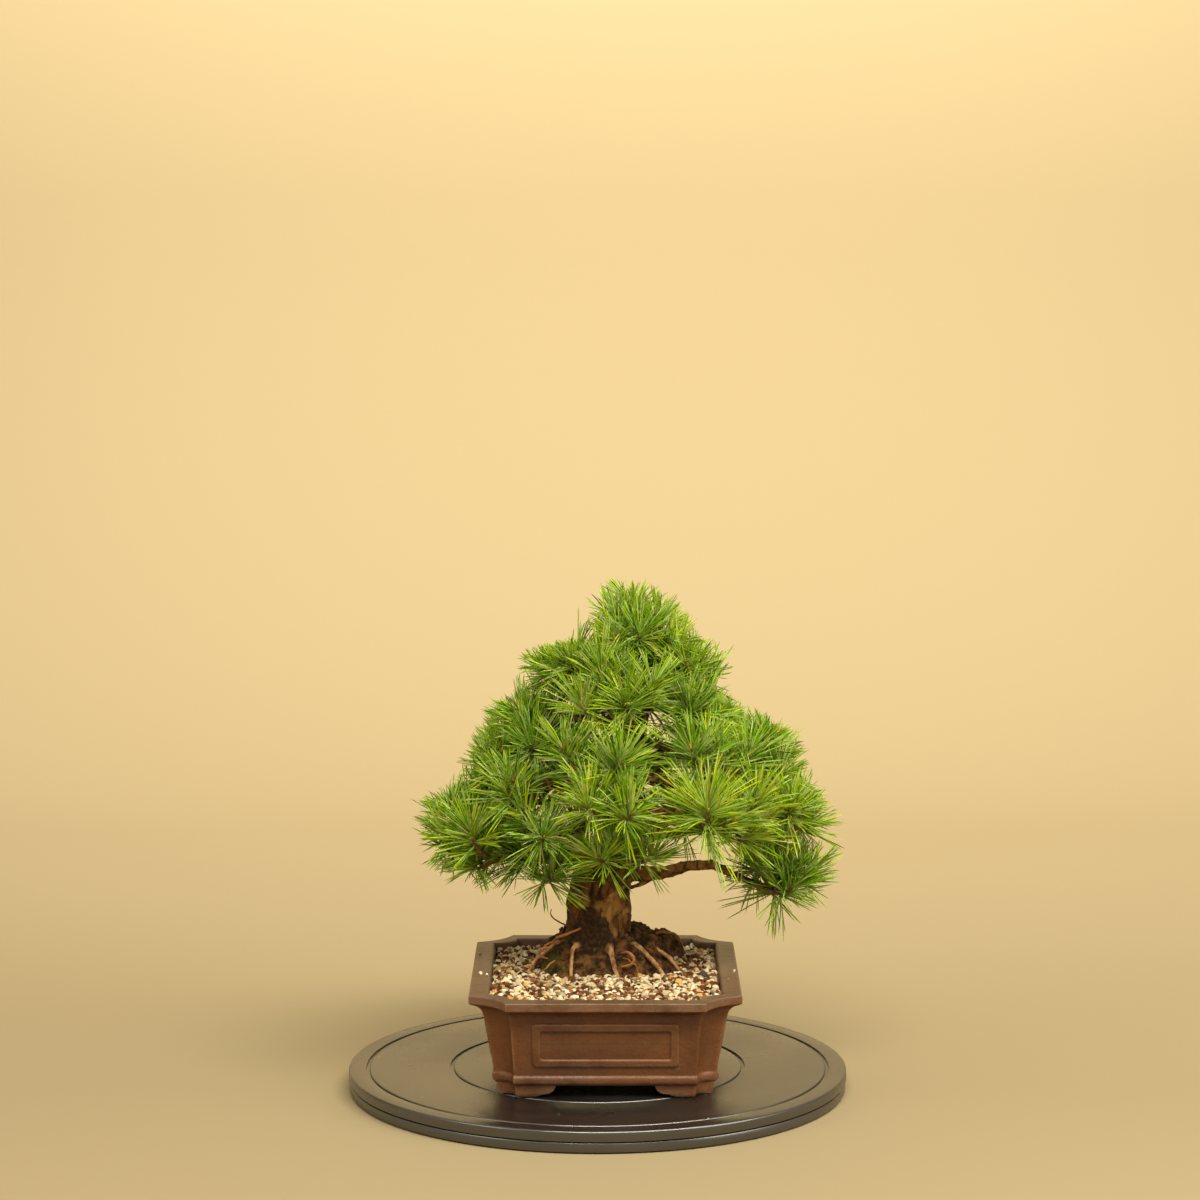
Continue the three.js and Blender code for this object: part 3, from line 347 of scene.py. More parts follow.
def make_plate_plastic():
    material, tree, shader = new_material("satin black plastic")
    place = object_place(tree)
    settled = place_group(tree, dust, {"Vector": place, "Scale": 95.0, "Size": 0.07})
    filmed = mixed(tree, settled["Film"], plate_black, plate_film)
    color = mixed(tree, settled["Specks"], filmed, dust_color)
    filmed_rough = ranged(tree, settled["Film"], 0, 1, 0.24, 0.36)
    rough = maths(tree, "MULTIPLY_ADD", settled["Specks"], 0.5, filmed_rough, use_clamp=True)
    finish_surface(tree, shader, place, color, 700.0, 0.00005, {"Roughness": rough, "IOR": 2.15})
    return material


def shaded(color, factor):
    return tuple(part * factor for part in color[:3]) + (1,)


def make_metal(name, color, roughness, brushed):
    material, tree, shader = new_material(name)
    place = object_place(tree)
    worn = patches(tree, place, 300.0, 0.3, 0.7)
    toned = mixed(tree, worn, color, shaded(color, 0.8))
    finish_surface(tree, shader, place, toned, 900.0, brushed, {
        "Roughness": ranged(tree, worn, 0, 1, roughness, roughness * 1.6), "Metallic": 1,
    })
    return material


def make_matt(name, color, spread, roughness, scale, height):
    """A matt material whose colour wanders between two shades, with a fine relief."""
    material, tree, shader = new_material(name)
    place = object_place(tree)
    toned = mixed(tree, patches(tree, place, scale / 4, 0.3, 0.7), color, shaded(color, spread))
    finish_surface(tree, shader, place, toned, scale, height, {"Roughness": roughness})
    return material


def on_ring(share, radius):
    """A place on a ring about the swivel axis, a share of a turn from the X axis."""
    angle = share * 2 * math.pi
    return Vector((math.cos(angle), math.sin(angle), 0)) * radius * MM


def make_ball_bearing():
    made = turned(ball_cage, plate_steps // 2)
    for ball in range(ball_count):
        middle = on_ring(ball / ball_count, ball_pitch)
        middle.z = (ball_cage[0][1] + ball_cage[2][1]) / 2 * MM
        bmesh.ops.create_icosphere(made, subdivisions=3, radius=ball_radius * MM,
                                   matrix=Matrix.Translation(middle))
    return made


plate_plastic = make_plate_plastic()
ball_steel = make_metal("polished ball steel", (0.62, 0.62, 0.64, 1), 0.16, 0.00001)
pin_zinc = make_metal("zinc-plated pin", (0.5, 0.5, 0.52, 1), 0.34, 0.00004)
pad_rubber = make_matt("black pad rubber", (0.016, 0.016, 0.016, 1), 1.5, 0.85, 600, 0.0001)

finish_piece("upper_plate", mesh_from("upper_plate", turned(upper_plate, plate_steps)),
             [plate_plastic], "deck", ["turntable_top"])
finish_piece("lower_plate", mesh_from("lower_plate", turned(lower_plate, plate_steps)),
             [plate_plastic], "base", ["turntable_base"])
finish_piece("ball_bearing", mesh_from("ball_bearing", make_ball_bearing()),
             [ball_steel], "base", ["bearing_balls"])
finish_piece("swivel_pin", mesh_from("swivel_pin", turned(swivel_pin, small_steps)),
             [pin_zinc], "base", ["pivot_pin"])
for pad in range(pad_count):
    pad_made = turned(rubber_pad, small_steps)
    pad_place = on_ring((pad + 0.5) / pad_count, pad_ring)
    bmesh.ops.translate(pad_made, verts=pad_made.verts, vec=pad_place)
    finish_piece(f"floor_pad_{pad + 1}", mesh_from("floor_pad", pad_made), [pad_rubber],
                 "base", [f"rubber_pad_{pad + 1}"])


# Pot: press-moulded brown stoneware, fired without glaze, so its edges are soft and its faces
# a little uneven. The wall is lofted through level outlines with hollowed corners, and the
# feet, the raised wall frames and the drain holes are joined to it or cut out of it.
pot_low, pot_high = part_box("pot")
pot_centre = (pot_low + pot_high) / 2
lip_half_x = (pot_high.x - pot_low.x) / 2
lip_half_y = (pot_high.y - pot_low.y) / 2
corner_cut_x, corner_cut_y = 29 * MM, 27 * MM
corner_sag = 5 * MM
corner_shrink = 0.68
corner_steps = 10
arris_supports = (5, 2)
quadrants = ((1, 1), (-1, 1), (-1, -1), (1, -1))
# Height above the pot's underside and inset from the lip's outline, in millimetres.
wall_outside = [
    (9.6, 21.8), (10.1, 20.9), (10.8, 19.9), (11.8, 18.8), (13, 18.2), (14.4, 18), (15.6, 18),
    (16.7, 18.3), (17.6, 18.9), (18.2, 19.6), (19, 19.5), (26, 18.2), (35, 16.6), (45, 14.8),
    (54, 13.3), (61, 12), (64.8, 11), (67.4, 10), (69.3, 8.3), (70.8, 6.2), (71.8, 3.6),
    (72.5, 1.5), (73, 0.5), (73.8, 0), (78.6, 0), (79.4, 0.25), (79.9, 0.9),
]
wall_inside = [
    (80, 1.8), (80, 12.4), (79.7, 13.6), (79, 14.6), (77.6, 15.5), (61, 19.6), (40, 23.4),
    (20, 27), (18, 28.6),
]
foot_outside = [(0, 24.6), (0.5, 23.6), (3, 22.4), (7, 22), (10.6, 21.8)]
foot_inner_inset = 42
foot_opening = [(38.2, 12), (38.6, 8.6), (40.4, 5.2), (43.6, 3.1), (48, 2.4), (52.4, 0.9),
                (55.5, 0.1), (58, -0.6)]
foot_rounding, foot_sharp, foot_reach = 0.9 * MM, 40, 1.3
drain_radius, drain_offset, drain_middle, drain_depth = 12 * MM, 52 * MM, 14 * MM, 20 * MM
frame_low, frame_high = 25, 61.5
frame_width, frame_margin, frame_proud, frame_round = 6.8, 34, 1.7, 4
frame_root, frame_edge, frame_edge_steps, frame_round_loss = 3, 1.9, 5, 0.32
round_steps = 6
clay_brown = (0.145, 0.05, 0.011, 1)
clay_dark = (0.08, 0.027, 0.006, 1)
# Painted sheen: a greyer clay colour laid on the top band of the lip, where the overhead light
# glances off.
clay_sheen_grey = (0.1, 0.052, 0.025, 1)
# Partly wear and partly painted highlight: the paler clay on sharp outer edges.
clay_worn_highlight = (0.28, 0.17, 0.095, 1)
# The heights between which the lip gets its painted sheen.
sheen_low, sheen_high = pot_high.z - 7.5 * MM, pot_high.z - 0.5 * MM
# How sharp an edge must turn to be painted fully pale, for wear and highlight.
pale_edge_angle = math.radians(30)


def outline_sizes(inset):
    """The outline's half widths and the lengths of its corner cuts, at an inset in millimetres."""
    halves = [half - inset * MM for half in (lip_half_x, lip_half_y)]
    return halves + [cut - inset * MM * corner_shrink for cut in (corner_cut_x, corner_cut_y)]


def pot_outline(height, inset):
    """The pot's outline at one height, as points. Both are in millimetres."""
    half_x, half_y, cut_x, cut_y = outline_sizes(inset)
    corner = []
    for step in range(corner_steps + 1):
        along = step / corner_steps
        sag = corner_sag * 4 * along * (1 - along) * math.sqrt(0.5)
        corner.append((half_x - cut_x * along - sag, half_y - cut_y * (1 - along) - sag))
    beside = [(half_x, half_y - cut_y - support * MM) for support in arris_supports]
    beyond = [(half_x - cut_x - support * MM, half_y) for support in reversed(arris_supports)]
    corner = beside + corner + beyond
    points = []
    for sign_x, sign_y in quadrants:
        run = corner if sign_x * sign_y > 0 else corner[::-1]
        points.extend(Vector((pot_centre.x + sign_x * x, pot_centre.y + sign_y * y,
                              pot_low.z + height * MM)) for x, y in run)
    return points


def lofted(rings, closed=False):
    """A skin through rings of points. Its ends are closed by faces, or joined if closed."""
    around, along = len(rings[0]), len(rings) if closed else len(rings) - 1
    made = bmesh.new()
    bmesh.ops.create_grid(made, x_segments=around, y_segments=along, size=0.5)
    for vert in made.verts:
        side = round((vert.co.x + 0.5) * around) % around
        ring = round((vert.co.y + 0.5) * along) % len(rings)
        vert.co = rings[ring][side]
    bmesh.ops.remove_doubles(made, verts=made.verts, dist=1e-6)
    bmesh.ops.holes_fill(made, edges=[edge for edge in made.edges if edge.is_boundary])
    bmesh.ops.recalc_face_normals(made, faces=made.faces)
    return made


def combine(target, mesh, operation):
    """Joins a shape to the target, or cuts it out."""
    tool = add_object("tool", mesh)
    change = target.modifiers.new("combine", "BOOLEAN")
    change.operation = operation
    change.solver = "EXACT"
    change.object = tool
    apply_modifiers(target)
    bpy.data.objects.remove(tool)


def apply_modifiers(piece):
    bpy.context.view_layer.update()
    depsgraph = bpy.context.evaluated_depsgraph_get()
    finished = bpy.data.meshes.new_from_object(piece.evaluated_get(depsgraph))
    piece.modifiers.clear()
    piece.data = finished


def rounded_rectangle(half_x, half_y, radius, height):
    points = []
    for quarter, (sign_x, sign_y) in enumerate(quadrants):
        for step in range(round_steps + 1):
            angle = (quarter + step / round_steps) * math.pi / 2
            points.append(Vector((sign_x * (half_x - radius) + radius * math.cos(angle),
                                  sign_y * (half_y - radius) + radius * math.sin(angle),
                                  height)) * MM)
    return points


def inset_at(height):
    """How far the wall leans in above the rib, at a height. Both are in millimetres."""
    heights, insets = zip(*[point for point in wall_outside if point[0] > 18])
    return float(np.interp(height, heights, insets))


def make_wall_frame(half_length):
    """One raised frame, flat on XZ with its face to -Y."""
    half_height = (frame_high - frame_low) / 2
    half = [(0, -frame_root), (0, 0)]
    for step in range(1, frame_edge_steps + 1):
        angle = step / frame_edge_steps * math.pi / 2
        half.append((frame_edge * (1 - math.cos(angle)), frame_proud * math.sin(angle)))
    section = half + [(frame_width - inset, height) for inset, height in reversed(half)]
    rings = []
    for inset, height in section:
        radius = frame_round - inset * frame_round_loss
        rings.append(rounded_rectangle(half_length - inset, half_height - inset, radius, height))
    made = lofted(rings, closed=True)
    bmesh.ops.rotate(made, verts=made.verts, matrix=Matrix.Rotation(math.pi / 2, 3, "X"))
    return made


def make_foot_bar(stretch):
    """The cloud-shaped opening between two feet, as a bar along Y."""
    half = [(x + stretch, z) for x, z in foot_opening]
    outline = half + [(-x, z) for x, z in reversed(half)]
    made = bmesh.new()
    reach = foot_reach * lip_half_y
    face = made.faces.new([made.verts.new((x * MM, -reach, z * MM)) for x, z in outline])
    draw_out(made, bmesh.ops.extrude_face_region(made, geom=[face]), (0, 2 * reach, 0))
    return made


def make_pot():
    wall = add_object("stoneware_pot", mesh_from("stoneware_pot", lofted(
        [pot_outline(*point) for point in wall_outside + wall_inside])))
    feet = add_object("feet", mesh_from("feet", lofted(
        [pot_outline(*point) for point in foot_outside])))
    base = Vector((pot_centre.x, pot_centre.y, pot_low.z))
    inner_x, inner_y = (half / MM - foot_inner_inset for half in (lip_half_x, lip_half_y))
    hollow = lofted([rounded_rectangle(inner_x, inner_y, 3, height) for height in (-1, 12)])
    bmesh.ops.translate(hollow, verts=hollow.verts, vec=base)
    combine(feet, mesh_from("hollow", hollow), "DIFFERENCE")
    for stretch, turn in ((0, 0), ((lip_half_y - lip_half_x) / MM, math.pi / 2)):
        bar = make_foot_bar(stretch)
        bmesh.ops.rotate(bar, verts=bar.verts, matrix=Matrix.Rotation(turn, 3, "Z"))
        bmesh.ops.translate(bar, verts=bar.verts, vec=base)
        combine(feet, mesh_from("bar", bar), "DIFFERENCE")
    soften = feet.modifiers.new("soften", "BEVEL")
    soften.width = foot_rounding
    soften.segments = 2
    soften.limit_method = "ANGLE"
    soften.angle_limit = math.radians(foot_sharp)
    apply_modifiers(feet)
    combine(wall, feet.data, "UNION")
    bpy.data.objects.remove(feet)
    middle = (frame_low + frame_high) / 2
    lean = math.atan2(inset_at(frame_low) - inset_at(frame_high), frame_high - frame_low)
    for number in range(4):
        along, reach = (lip_half_x, lip_half_y) if number % 2 == 0 else (lip_half_y, lip_half_x)
        made = make_wall_frame(along / MM - inset_at(middle) - frame_margin)
        outward = Vector((0, -reach + inset_at(middle) * MM, middle * MM))
        matrix = (Matrix.Translation(base) @ Matrix.Rotation(number * math.pi / 2, 4, "Z")
                  @ Matrix.Translation(outward) @ Matrix.Rotation(lean, 4, "X"))
        bmesh.ops.transform(made, matrix=matrix, verts=made.verts)
        combine(wall, mesh_from("frame", made), "UNION")
    for side in (-1, 1):
        drain = bmesh.new()
        place = base + Vector((0, side * drain_offset, drain_middle))
        bmesh.ops.create_cone(drain, cap_ends=True, segments=32, radius1=drain_radius,
                              radius2=drain_radius, depth=drain_depth,
                              matrix=Matrix.Translation(place))
        combine(wall, mesh_from("drain", drain), "DIFFERENCE")
    mesh = wall.data
    bpy.data.objects.remove(wall)
    return mesh


def set_marks(mesh, name, values, where="POINT"):
    """Writes a value at each point or face, which a material reads by its name."""
    mesh.attributes.new(name, "FLOAT", where).data.foreach_set("value", values)


def read_marks(tree, name):
    return add_node(tree, "Attribute", attribute_name=name).outputs["Fac"]


def risen(tree, place, low, high):
    """A value that rises from 0 to 1 between two heights."""
    height = add_node(tree, "SeparateXYZ", {"Vector": place}).outputs["Z"]
    return ranged(tree, height, low, high)


def make_stoneware():
    material, tree, shader = new_material("unglazed brown stoneware")
    place = object_place(tree)
    broad = patches(tree, place, 16.0, 0.3, 0.72)
    # Painted sheen: the top band of the lip is turned greyer, for the light that glances off it.
    on_lip = risen(tree, place, sheen_low, sheen_high)
    sheened = mixed(tree, on_lip, mixed(tree, broad, clay_dark, clay_brown), clay_sheen_grey)
    specks = times(tree, patches(tree, place, 420.0, 0.52, 0.7), 0.45)
    speckled = mixed(tree, specks, sheened, clay_dark)
    # Sharp outer edges are painted paler: partly handling wear, partly a painted highlight along
    # them.
    rubbed_highlit = times(tree, read_marks(tree, "edge"), patches(tree, place, 60.0, 0.3, 0.6))
    worn = mixed(tree, times(tree, rubbed_highlit, 0.3), speckled, clay_worn_highlight)
    finish_surface(tree, shader, place, worn, 160.0, 0.0006, {
        "Roughness": ranged(tree, broad, 0, 1, 0.4, 0.5), "Specular IOR Level": 0.42,
    })
    return material


def mark_edges(mesh):
    """Marks how sharp the mesh turns at each point, for paler edges: handling wear and painted
    highlight.
    """
    made = bmesh.new()
    made.from_mesh(mesh)
    values = []
    for vert in made.verts:
        turns = [edge.calc_face_angle_signed(0) for edge in vert.link_edges]
        values.append(min(1.0, max(0.0, max(turns, default=0) / pale_edge_angle)))
    made.free()
    set_marks(mesh, "edge", values)


stoneware = make_stoneware()
pot_mesh = make_pot()
mark_edges(pot_mesh)
pot = finish_piece("stoneware_pot", pot_mesh, [stoneware], "deck", ["pot"], 40)
pot.modifiers.new("even shading", "WEIGHTED_NORMAL").keep_sharp = True


# Drain screens: plastic mesh squares over the drain holes, which keep the grit in. They keep
# the shape that they have in the frame.
def refinish(node, material):
    """Gives a node that keeps its shape another material."""
    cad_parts[node].data.materials.clear()
    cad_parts[node].data.materials.append(material)


screen_plastic = make_matt("dark mesh plastic", (0.02, 0.03, 0.022, 1), 1.4, 0.6, 500, 0.0001)
refinish("drain_screen_front", screen_plastic)
refinish("drain_screen_back", screen_plastic)


# Soil: dark fines below, which keep their shape from the frame, and on top a loose layer of
# cream pumice chips and rounder red-brown clay grains. A few grain shapes are worn out of
# blocks, and laid turned and scaled where a rain of seeded points falls on the soil.
grain_spacing = 3.8 * MM
grain_layers = 2
grain_seed = 11
pumice_share = 0.43
pumice_size, clay_size = (2.0 * MM, 3.7 * MM), (1.7 * MM, 3.0 * MM)
rim_clearance, layer_rise = 17.5, 1.3 * MM
grain_block, grain_wear, grain_breaks = 1.64, 0.44, 4
pumice_form, clay_form = (0.5, 0.62), (0.25, 0.86)
# A few grains that were spilt on the lip, as (x, y), and the place of the one dark stone.
stray_grains = [(-93, -27), (-88, -31), (-96, 44), (103, -49), (109, -20), (60, 112), (70, -119)]
stray_size = (1.2 * MM, 2.0 * MM)
dark_stone = (84, -22, 95)
dark_stone_size = (5 * MM, 6 * MM)


def template_arrays(made):
    """The points and triangles of a small made shape, as arrays, for laying many copies."""
    bmesh.ops.triangulate(made, faces=made.faces)
    made.verts.ensure_lookup_table()
    points = np.array([vert.co for vert in made.verts])
    faces = np.array([[vert.index for vert in face.verts] for face in made.faces])
    made.free()
    return points, faces


def grain_shape(seed, roughness, flatness):
    """A grain of radius one: a block with worn edges, pushed in and out, with flat breaks."""
    made = bmesh.new()
    bmesh.ops.create_cube(made, size=grain_block)
    bmesh.ops.bevel(made, geom=made.edges[:], offset=grain_wear, offset_type="OFFSET",
                    segments=1, profile=0.5, affect="EDGES", material=-1)
    for vert in made.verts:
        push = noise.noise(vert.co * 0.9 + Vector((seed * 7.3, 0, 0)))
        vert.co *= 1 + roughness * push
    for cut in range(grain_breaks):
        side = Vector((math.sin(seed * 3 + cut * 2.4), math.cos(seed * 5 + cut * 1.7),
                       math.sin(seed + cut * 4.1))).normalized()
        for vert in made.verts:
            beyond = vert.co.dot(side) - flatness
            if beyond > 0:
                vert.co -= side * beyond
    return template_arrays(made)


def unit(vectors):
    return vectors / np.linalg.norm(vectors, axis=-1, keepdims=True)


def in_one_row(copies, faces):
    """The points of all copies of a shape in one row, and their faces numbered to match."""
    starts = np.arange(len(copies)) * copies.shape[1]
    return copies.reshape(-1, 3), (faces[None] + starts[:, None, None]).reshape(-1, 3)


def turned_copies(template, places, sizes, chance):
    """Copies of a shape at places, each turned at random and scaled by its three sizes."""
    points, faces = template
    w, x, y, z = unit(chance.normal(size=(len(places), 4))).T
    matrices = np.array([
        [1 - 2 * (y * y + z * z), 2 * (x * y - z * w), 2 * (x * z + y * w)],
        [2 * (x * y + z * w), 1 - 2 * (x * x + z * z), 2 * (y * z - x * w)],
        [2 * (x * z - y * w), 2 * (y * z + x * w), 1 - 2 * (x * x + y * y)],
    ]).transpose(2, 0, 1)
    scaled = points[None, :, :] * sizes[:, None, :]
    return in_one_row(np.einsum("nij,nmj->nmi", matrices, scaled) + places[:, None, :], faces)


def joined_mesh(name, parts):
    """One mesh from parts of (points, triangles, material number, {mark: values})."""
    mesh = bpy.data.meshes.new(name)
    points = np.concatenate([part[0] for part in parts])
    starts = np.cumsum([0] + [len(part[0]) for part in parts])
    faces = np.concatenate([part[1] + start for part, start in zip(parts, starts)])
    mesh.from_pydata(points, [], faces)
    numbers = np.concatenate([np.full(len(part[1]), part[2]) for part in parts])
    mesh.polygons.foreach_set("material_index", numbers.astype(np.int32))
    for mark in parts[0][3]:
        values = np.concatenate([np.broadcast_to(part[3][mark], len(part[0])) for part in parts])
        set_marks(mesh, mark, values.astype(np.float32))
    return mesh


def inside_rim(x, y, inset):
    """Whether a place lies inside the pot's outline at an inset, in millimetres."""
    half_x, half_y, cut_x, cut_y = outline_sizes(inset)
    from_x = abs(x - pot_centre.x) / half_x
    from_y = abs(y - pot_centre.y) / half_y
    slant = (1 - from_x) * half_x / cut_x + (1 - from_y) * half_y / cut_y
    return from_x < 1 and from_y < 1 and slant > 1


def node_surface(node):
    """The surface of a node of the frame, for finding the nearest point or what lies below."""
    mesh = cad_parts[node].data
    return BVHTree.FromPolygons([vert.co for vert in mesh.vertices],
                                [face.vertices for face in mesh.polygons])


def soil_places(spacing, layers, seed):
    """Where grains rest: points rained in a jittered net, dropped on the soil and its mound."""
    chance = np.random.default_rng(seed)
    found = []
    soil_surface, mound_surface = node_surface("soil"), node_surface("root_mound")
    for layer in range(layers):
        for x in np.arange(pot_low.x, pot_high.x, spacing):
            for y in np.arange(pot_low.y, pot_high.y, spacing):
                px, py = np.array([x, y]) + chance.uniform(-0.5, 0.5, 2) * spacing
                if not inside_rim(px, py, rim_clearance + layer):
                    continue
                above = Vector((px, py, cad_box[1].z))
                place = soil_surface.ray_cast(above, -UP)[0]
                higher = mound_surface.ray_cast(above, -UP)[0]
                if place and not (higher and higher.z > place.z):
                    found.append((px, py, place.z + layer * layer_rise))
    return np.array(found)


def shade_ramp(tree, mark, shades):
    """A colour read by one of the piece's marks from a ramp of (position, colour)."""
    ramp = add_node(tree, "ValToRGB", {"Fac": read_marks(tree, mark)})
    stops = ramp.color_ramp.elements
    stops[0].position, stops[0].color = shades[0]
    stops[1].position, stops[1].color = shades[-1]
    for position, color in shades[1:-1]:
        stops.new(position).color = color
    return ramp.outputs["Color"]


def make_grain_material(name, shades, speck, scale):
    """Porous grains. Each grain takes its shade from its own tone."""
    material, tree, shader = new_material(name)
    place = object_place(tree)
    pores = times(tree, patches(tree, place, scale, 0.5, 0.66), 0.5)
    color = mixed(tree, pores, shade_ramp(tree, "tone", shades), speck)
    finish_surface(tree, shader, place, color, scale * 1.6, 0.0004,
                   {"Roughness": 0.92, "Specular IOR Level": 0.25})
    return material


pumice_shades = [
    (0.0, (0.3, 0.23, 0.13, 1)), (0.2, (0.56, 0.46, 0.28, 1)), (0.5, (0.78, 0.66, 0.4, 1)),
    (0.78, (0.86, 0.78, 0.54, 1)), (0.84, (0.6, 0.3, 0.05, 1)), (0.91, (0.66, 0.4, 0.1, 1)),
    (0.95, (0.1, 0.085, 0.06, 1)), (1.0, (0.7, 0.6, 0.38, 1)),
]
clay_shades = [
    (0.0, (0.035, 0.014, 0.006, 1)), (0.45, (0.13, 0.044, 0.013, 1)),
    (0.8, (0.24, 0.09, 0.026, 1)), (1.0, (0.34, 0.17, 0.06, 1)),
]
pumice = make_grain_material("cream pumice", pumice_shades, (0.3, 0.22, 0.13, 1), 900)
clay_grit = make_grain_material("red-brown clay grit", clay_shades, (0.04, 0.018, 0.01, 1), 900)
fines = make_matt("dark soil fines", (0.05, 0.028, 0.016, 1), 0.5, 0.98, 700, 0.0008)
refinish("soil", fines)


def lay_grains(name, places, sizes, shapes, seed, material):
    chance = np.random.default_rng(seed)
    parts = []
    for number, shape in enumerate(shapes):
        chosen = places[number::len(shapes)]
        size = chance.uniform(*sizes, (len(chosen), 1))
        size = size * chance.uniform(0.75, 1.2, (len(chosen), 3))
        tones = np.repeat(chance.uniform(0, 1, len(chosen)), len(shape[0]))
        points, faces = turned_copies(shape, chosen, size, chance)
        parts.append((points, faces, 0, {"tone": tones}))
    finish_piece(name, joined_mesh(name, parts), [material], "deck", [], 50)


grain_places = soil_places(grain_spacing, grain_layers, grain_seed)
grain_kind = np.random.default_rng(grain_seed + 1).uniform(0, 1, len(grain_places))
lay_grains("pumice_grit", grain_places[grain_kind < pumice_share], pumice_size,
           [grain_shape(seed, *pumice_form) for seed in range(7)], 21, pumice)
lay_grains("clay_grit", grain_places[grain_kind >= pumice_share], clay_size,
           [grain_shape(seed + 20, *clay_form) for seed in range(5)], 22, clay_grit)

lip_top = pot_high.z + 0.8 * MM
stray_places = np.array([(x * MM, y * MM, lip_top) for x, y in stray_grains])
lay_grains("stray_grit", stray_places, stray_size, [grain_shape(3, *pumice_form)], 23, pumice)
slate = make_matt("dark slate", (0.024, 0.017, 0.013, 1), 1.8, 0.85, 500, 0.0004)
lay_grains("dark_stone", np.array([dark_stone]) * MM, dark_stone_size, [grain_shape(9, 0.4, 0.7)],
           24, slate)


# Root ball: the old black muck round the roots, washed bare above the grit and grown over with
# moss in patches. It is the frame's shape, remeshed fine and roughened, with crumbs and tufts
# of moss on it, and with thin side roots that run over it and back into it.
mound_voxel = 1.55 * MM
crumb_count = 820
crumb_size = (0.7 * MM, 1.9 * MM)
muck_color = (0.03, 0.014, 0.006, 1)
muck_brown = (0.17, 0.074, 0.022, 1)
moss_color = (0.075, 0.066, 0.01, 1)
crumb_shades = [
    (0.0, (0.03, 0.014, 0.005, 1)), (0.45, (0.1, 0.045, 0.016, 1)),
    (0.72, (0.17, 0.078, 0.028, 1)), (0.8, (0.05, 0.05, 0.007, 1)),
    (0.97, (0.085, 0.08, 0.011, 1)), (1.0, (0.42, 0.28, 0.13, 1)),
]
rootlet_sides, rootlet_seed = 7, 35
# Side roots as runs of (x, y, z above the deck, radius) in millimetres.
rootlets = [
    [(-12, -4, 113, 0.8), (-22, -5, 109, 1.0), (-34, -6, 104, 0.9), (-44, -6, 96, 0.8),
     (-50, -7, 86, 0.6), (-52, -9, 76, 0.5)],
    [(-38, -8, 98, 0.7), (-45, -10, 97, 0.8), (-46, -12, 92, 0.8), (-40, -13, 90, 0.6)],
    [(-34, -14, 89, 0.5), (-40, -17, 84, 0.8), (-47, -18, 78, 0.7), (-50, -19, 72, 0.5)],
    [(18, -15, 95, 0.7), (26, -17, 95, 1.1), (29, -19, 90, 1.0), (25, -20, 86, 1.0),
     (19, -20, 85, 0.7)],
    [(20, -14, 91, 0.5), (28, -19, 88, 0.7), (32, -21, 82, 0.7), (30, -22, 76, 0.5)],
    [(-18, 11, 109, 0.7), (-26, 7, 113, 0.7), (-33, 5, 117, 0.6), (-37, 4, 121, 0.5),
     (-37, 3, 127, 0.35)],
    [(42, 50, 94, 0.7), (54, 54, 97, 1.0), (66, 56, 92, 0.8), (71, 56, 80, 0.6)],
]


def refined_copy(node, voxel, smoothing, swell):
    """A finer copy of a node: merged, remeshed, smoothed and swollen back to its size."""
    made = bmesh.new()
    made.from_mesh(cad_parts[node].data)
    bmesh.ops.remove_doubles(made, verts=made.verts, dist=1e-6)
    copy = add_object(node + "_copy", mesh_from(node + "_copy", made))
    remesh = copy.modifiers.new("remesh", "REMESH")
    remesh.mode = "VOXEL"
    remesh.voxel_size = voxel
    smooth = copy.modifiers.new("smooth", "SMOOTH")
    smooth.factor = 0.5
    smooth.iterations = smoothing
    apply_modifiers(copy)
    mesh = copy.data
    bpy.data.objects.remove(copy)
    push_out(mesh, lambda place: swell)
    return mesh


def push_out(mesh, amount):
    """Moves each point along its normal by amount(place)."""
    moved = []
    for vert in mesh.vertices:
        moved.extend(vert.co + vert.normal * amount(vert.co))
    mesh.vertices.foreach_set("co", moved)
    mesh.update()


def crumble(place):
    clods = noise.noise(place * 75) * 2.4
    crumbs = abs(noise.noise(place * 260)) * 2.2 + noise.noise(place * 640) * 0.7
    return (clods + crumbs - 0.7) * MM


def make_muck():
    material, tree, shader = new_material("mossy root muck")
    place = object_place(tree)
    earth = mixed(tree, patches(tree, place, 130.0, 0.42, 0.66), muck_color, muck_brown)
    mossy = times(tree, patches(tree, place, 38.0, 0.52, 0.6),
                  patches(tree, place, 500.0, 0.3, 0.6))
    finish_surface(tree, shader, place, mixed(tree, mossy, earth, moss_color), 500.0, 0.0006,
                   {"Roughness": 0.97, "Specular IOR Level": 0.2})
    return material


def surface_places(mesh, count, seed):
    """Places spread at random over the upward half of a finely meshed surface."""
    chance = np.random.default_rng(seed)
    facing = [face for face in mesh.polygons if face.normal.z > -0.1]
    areas = np.array([face.area for face in facing])
    drawn = chance.choice(len(facing), count, replace=False, p=areas / areas.sum())
    return np.array([facing[number].center for number in drawn])


def make_run(name, points, sides):
    """A tube through points given as (x, y, z above the deck, radius) in millimetres."""
    curve = bpy.data.curves.new(name, "CURVE")
    curve.dimensions = "3D"
    curve.bevel_depth = MM
    curve.bevel_resolution = sides // 2 - 1
    curve.use_fill_caps = True
    run = curve.splines.new("BEZIER")
    run.bezier_points.add(len(points) - 1)
    for mark, (x, y, z, radius) in zip(run.bezier_points, points):
        mark.co = (x * MM, y * MM, z * MM + deck_height)
        mark.radius = radius
        mark.handle_left_type = mark.handle_right_type = "AUTO"
    run.resolution_u = 6
    drawn = add_object(name, curve)
    depsgraph = bpy.context.evaluated_depsgraph_get()
    finished = bpy.data.meshes.new_from_object(drawn.evaluated_get(depsgraph))
    bpy.data.objects.remove(drawn)
    return finished


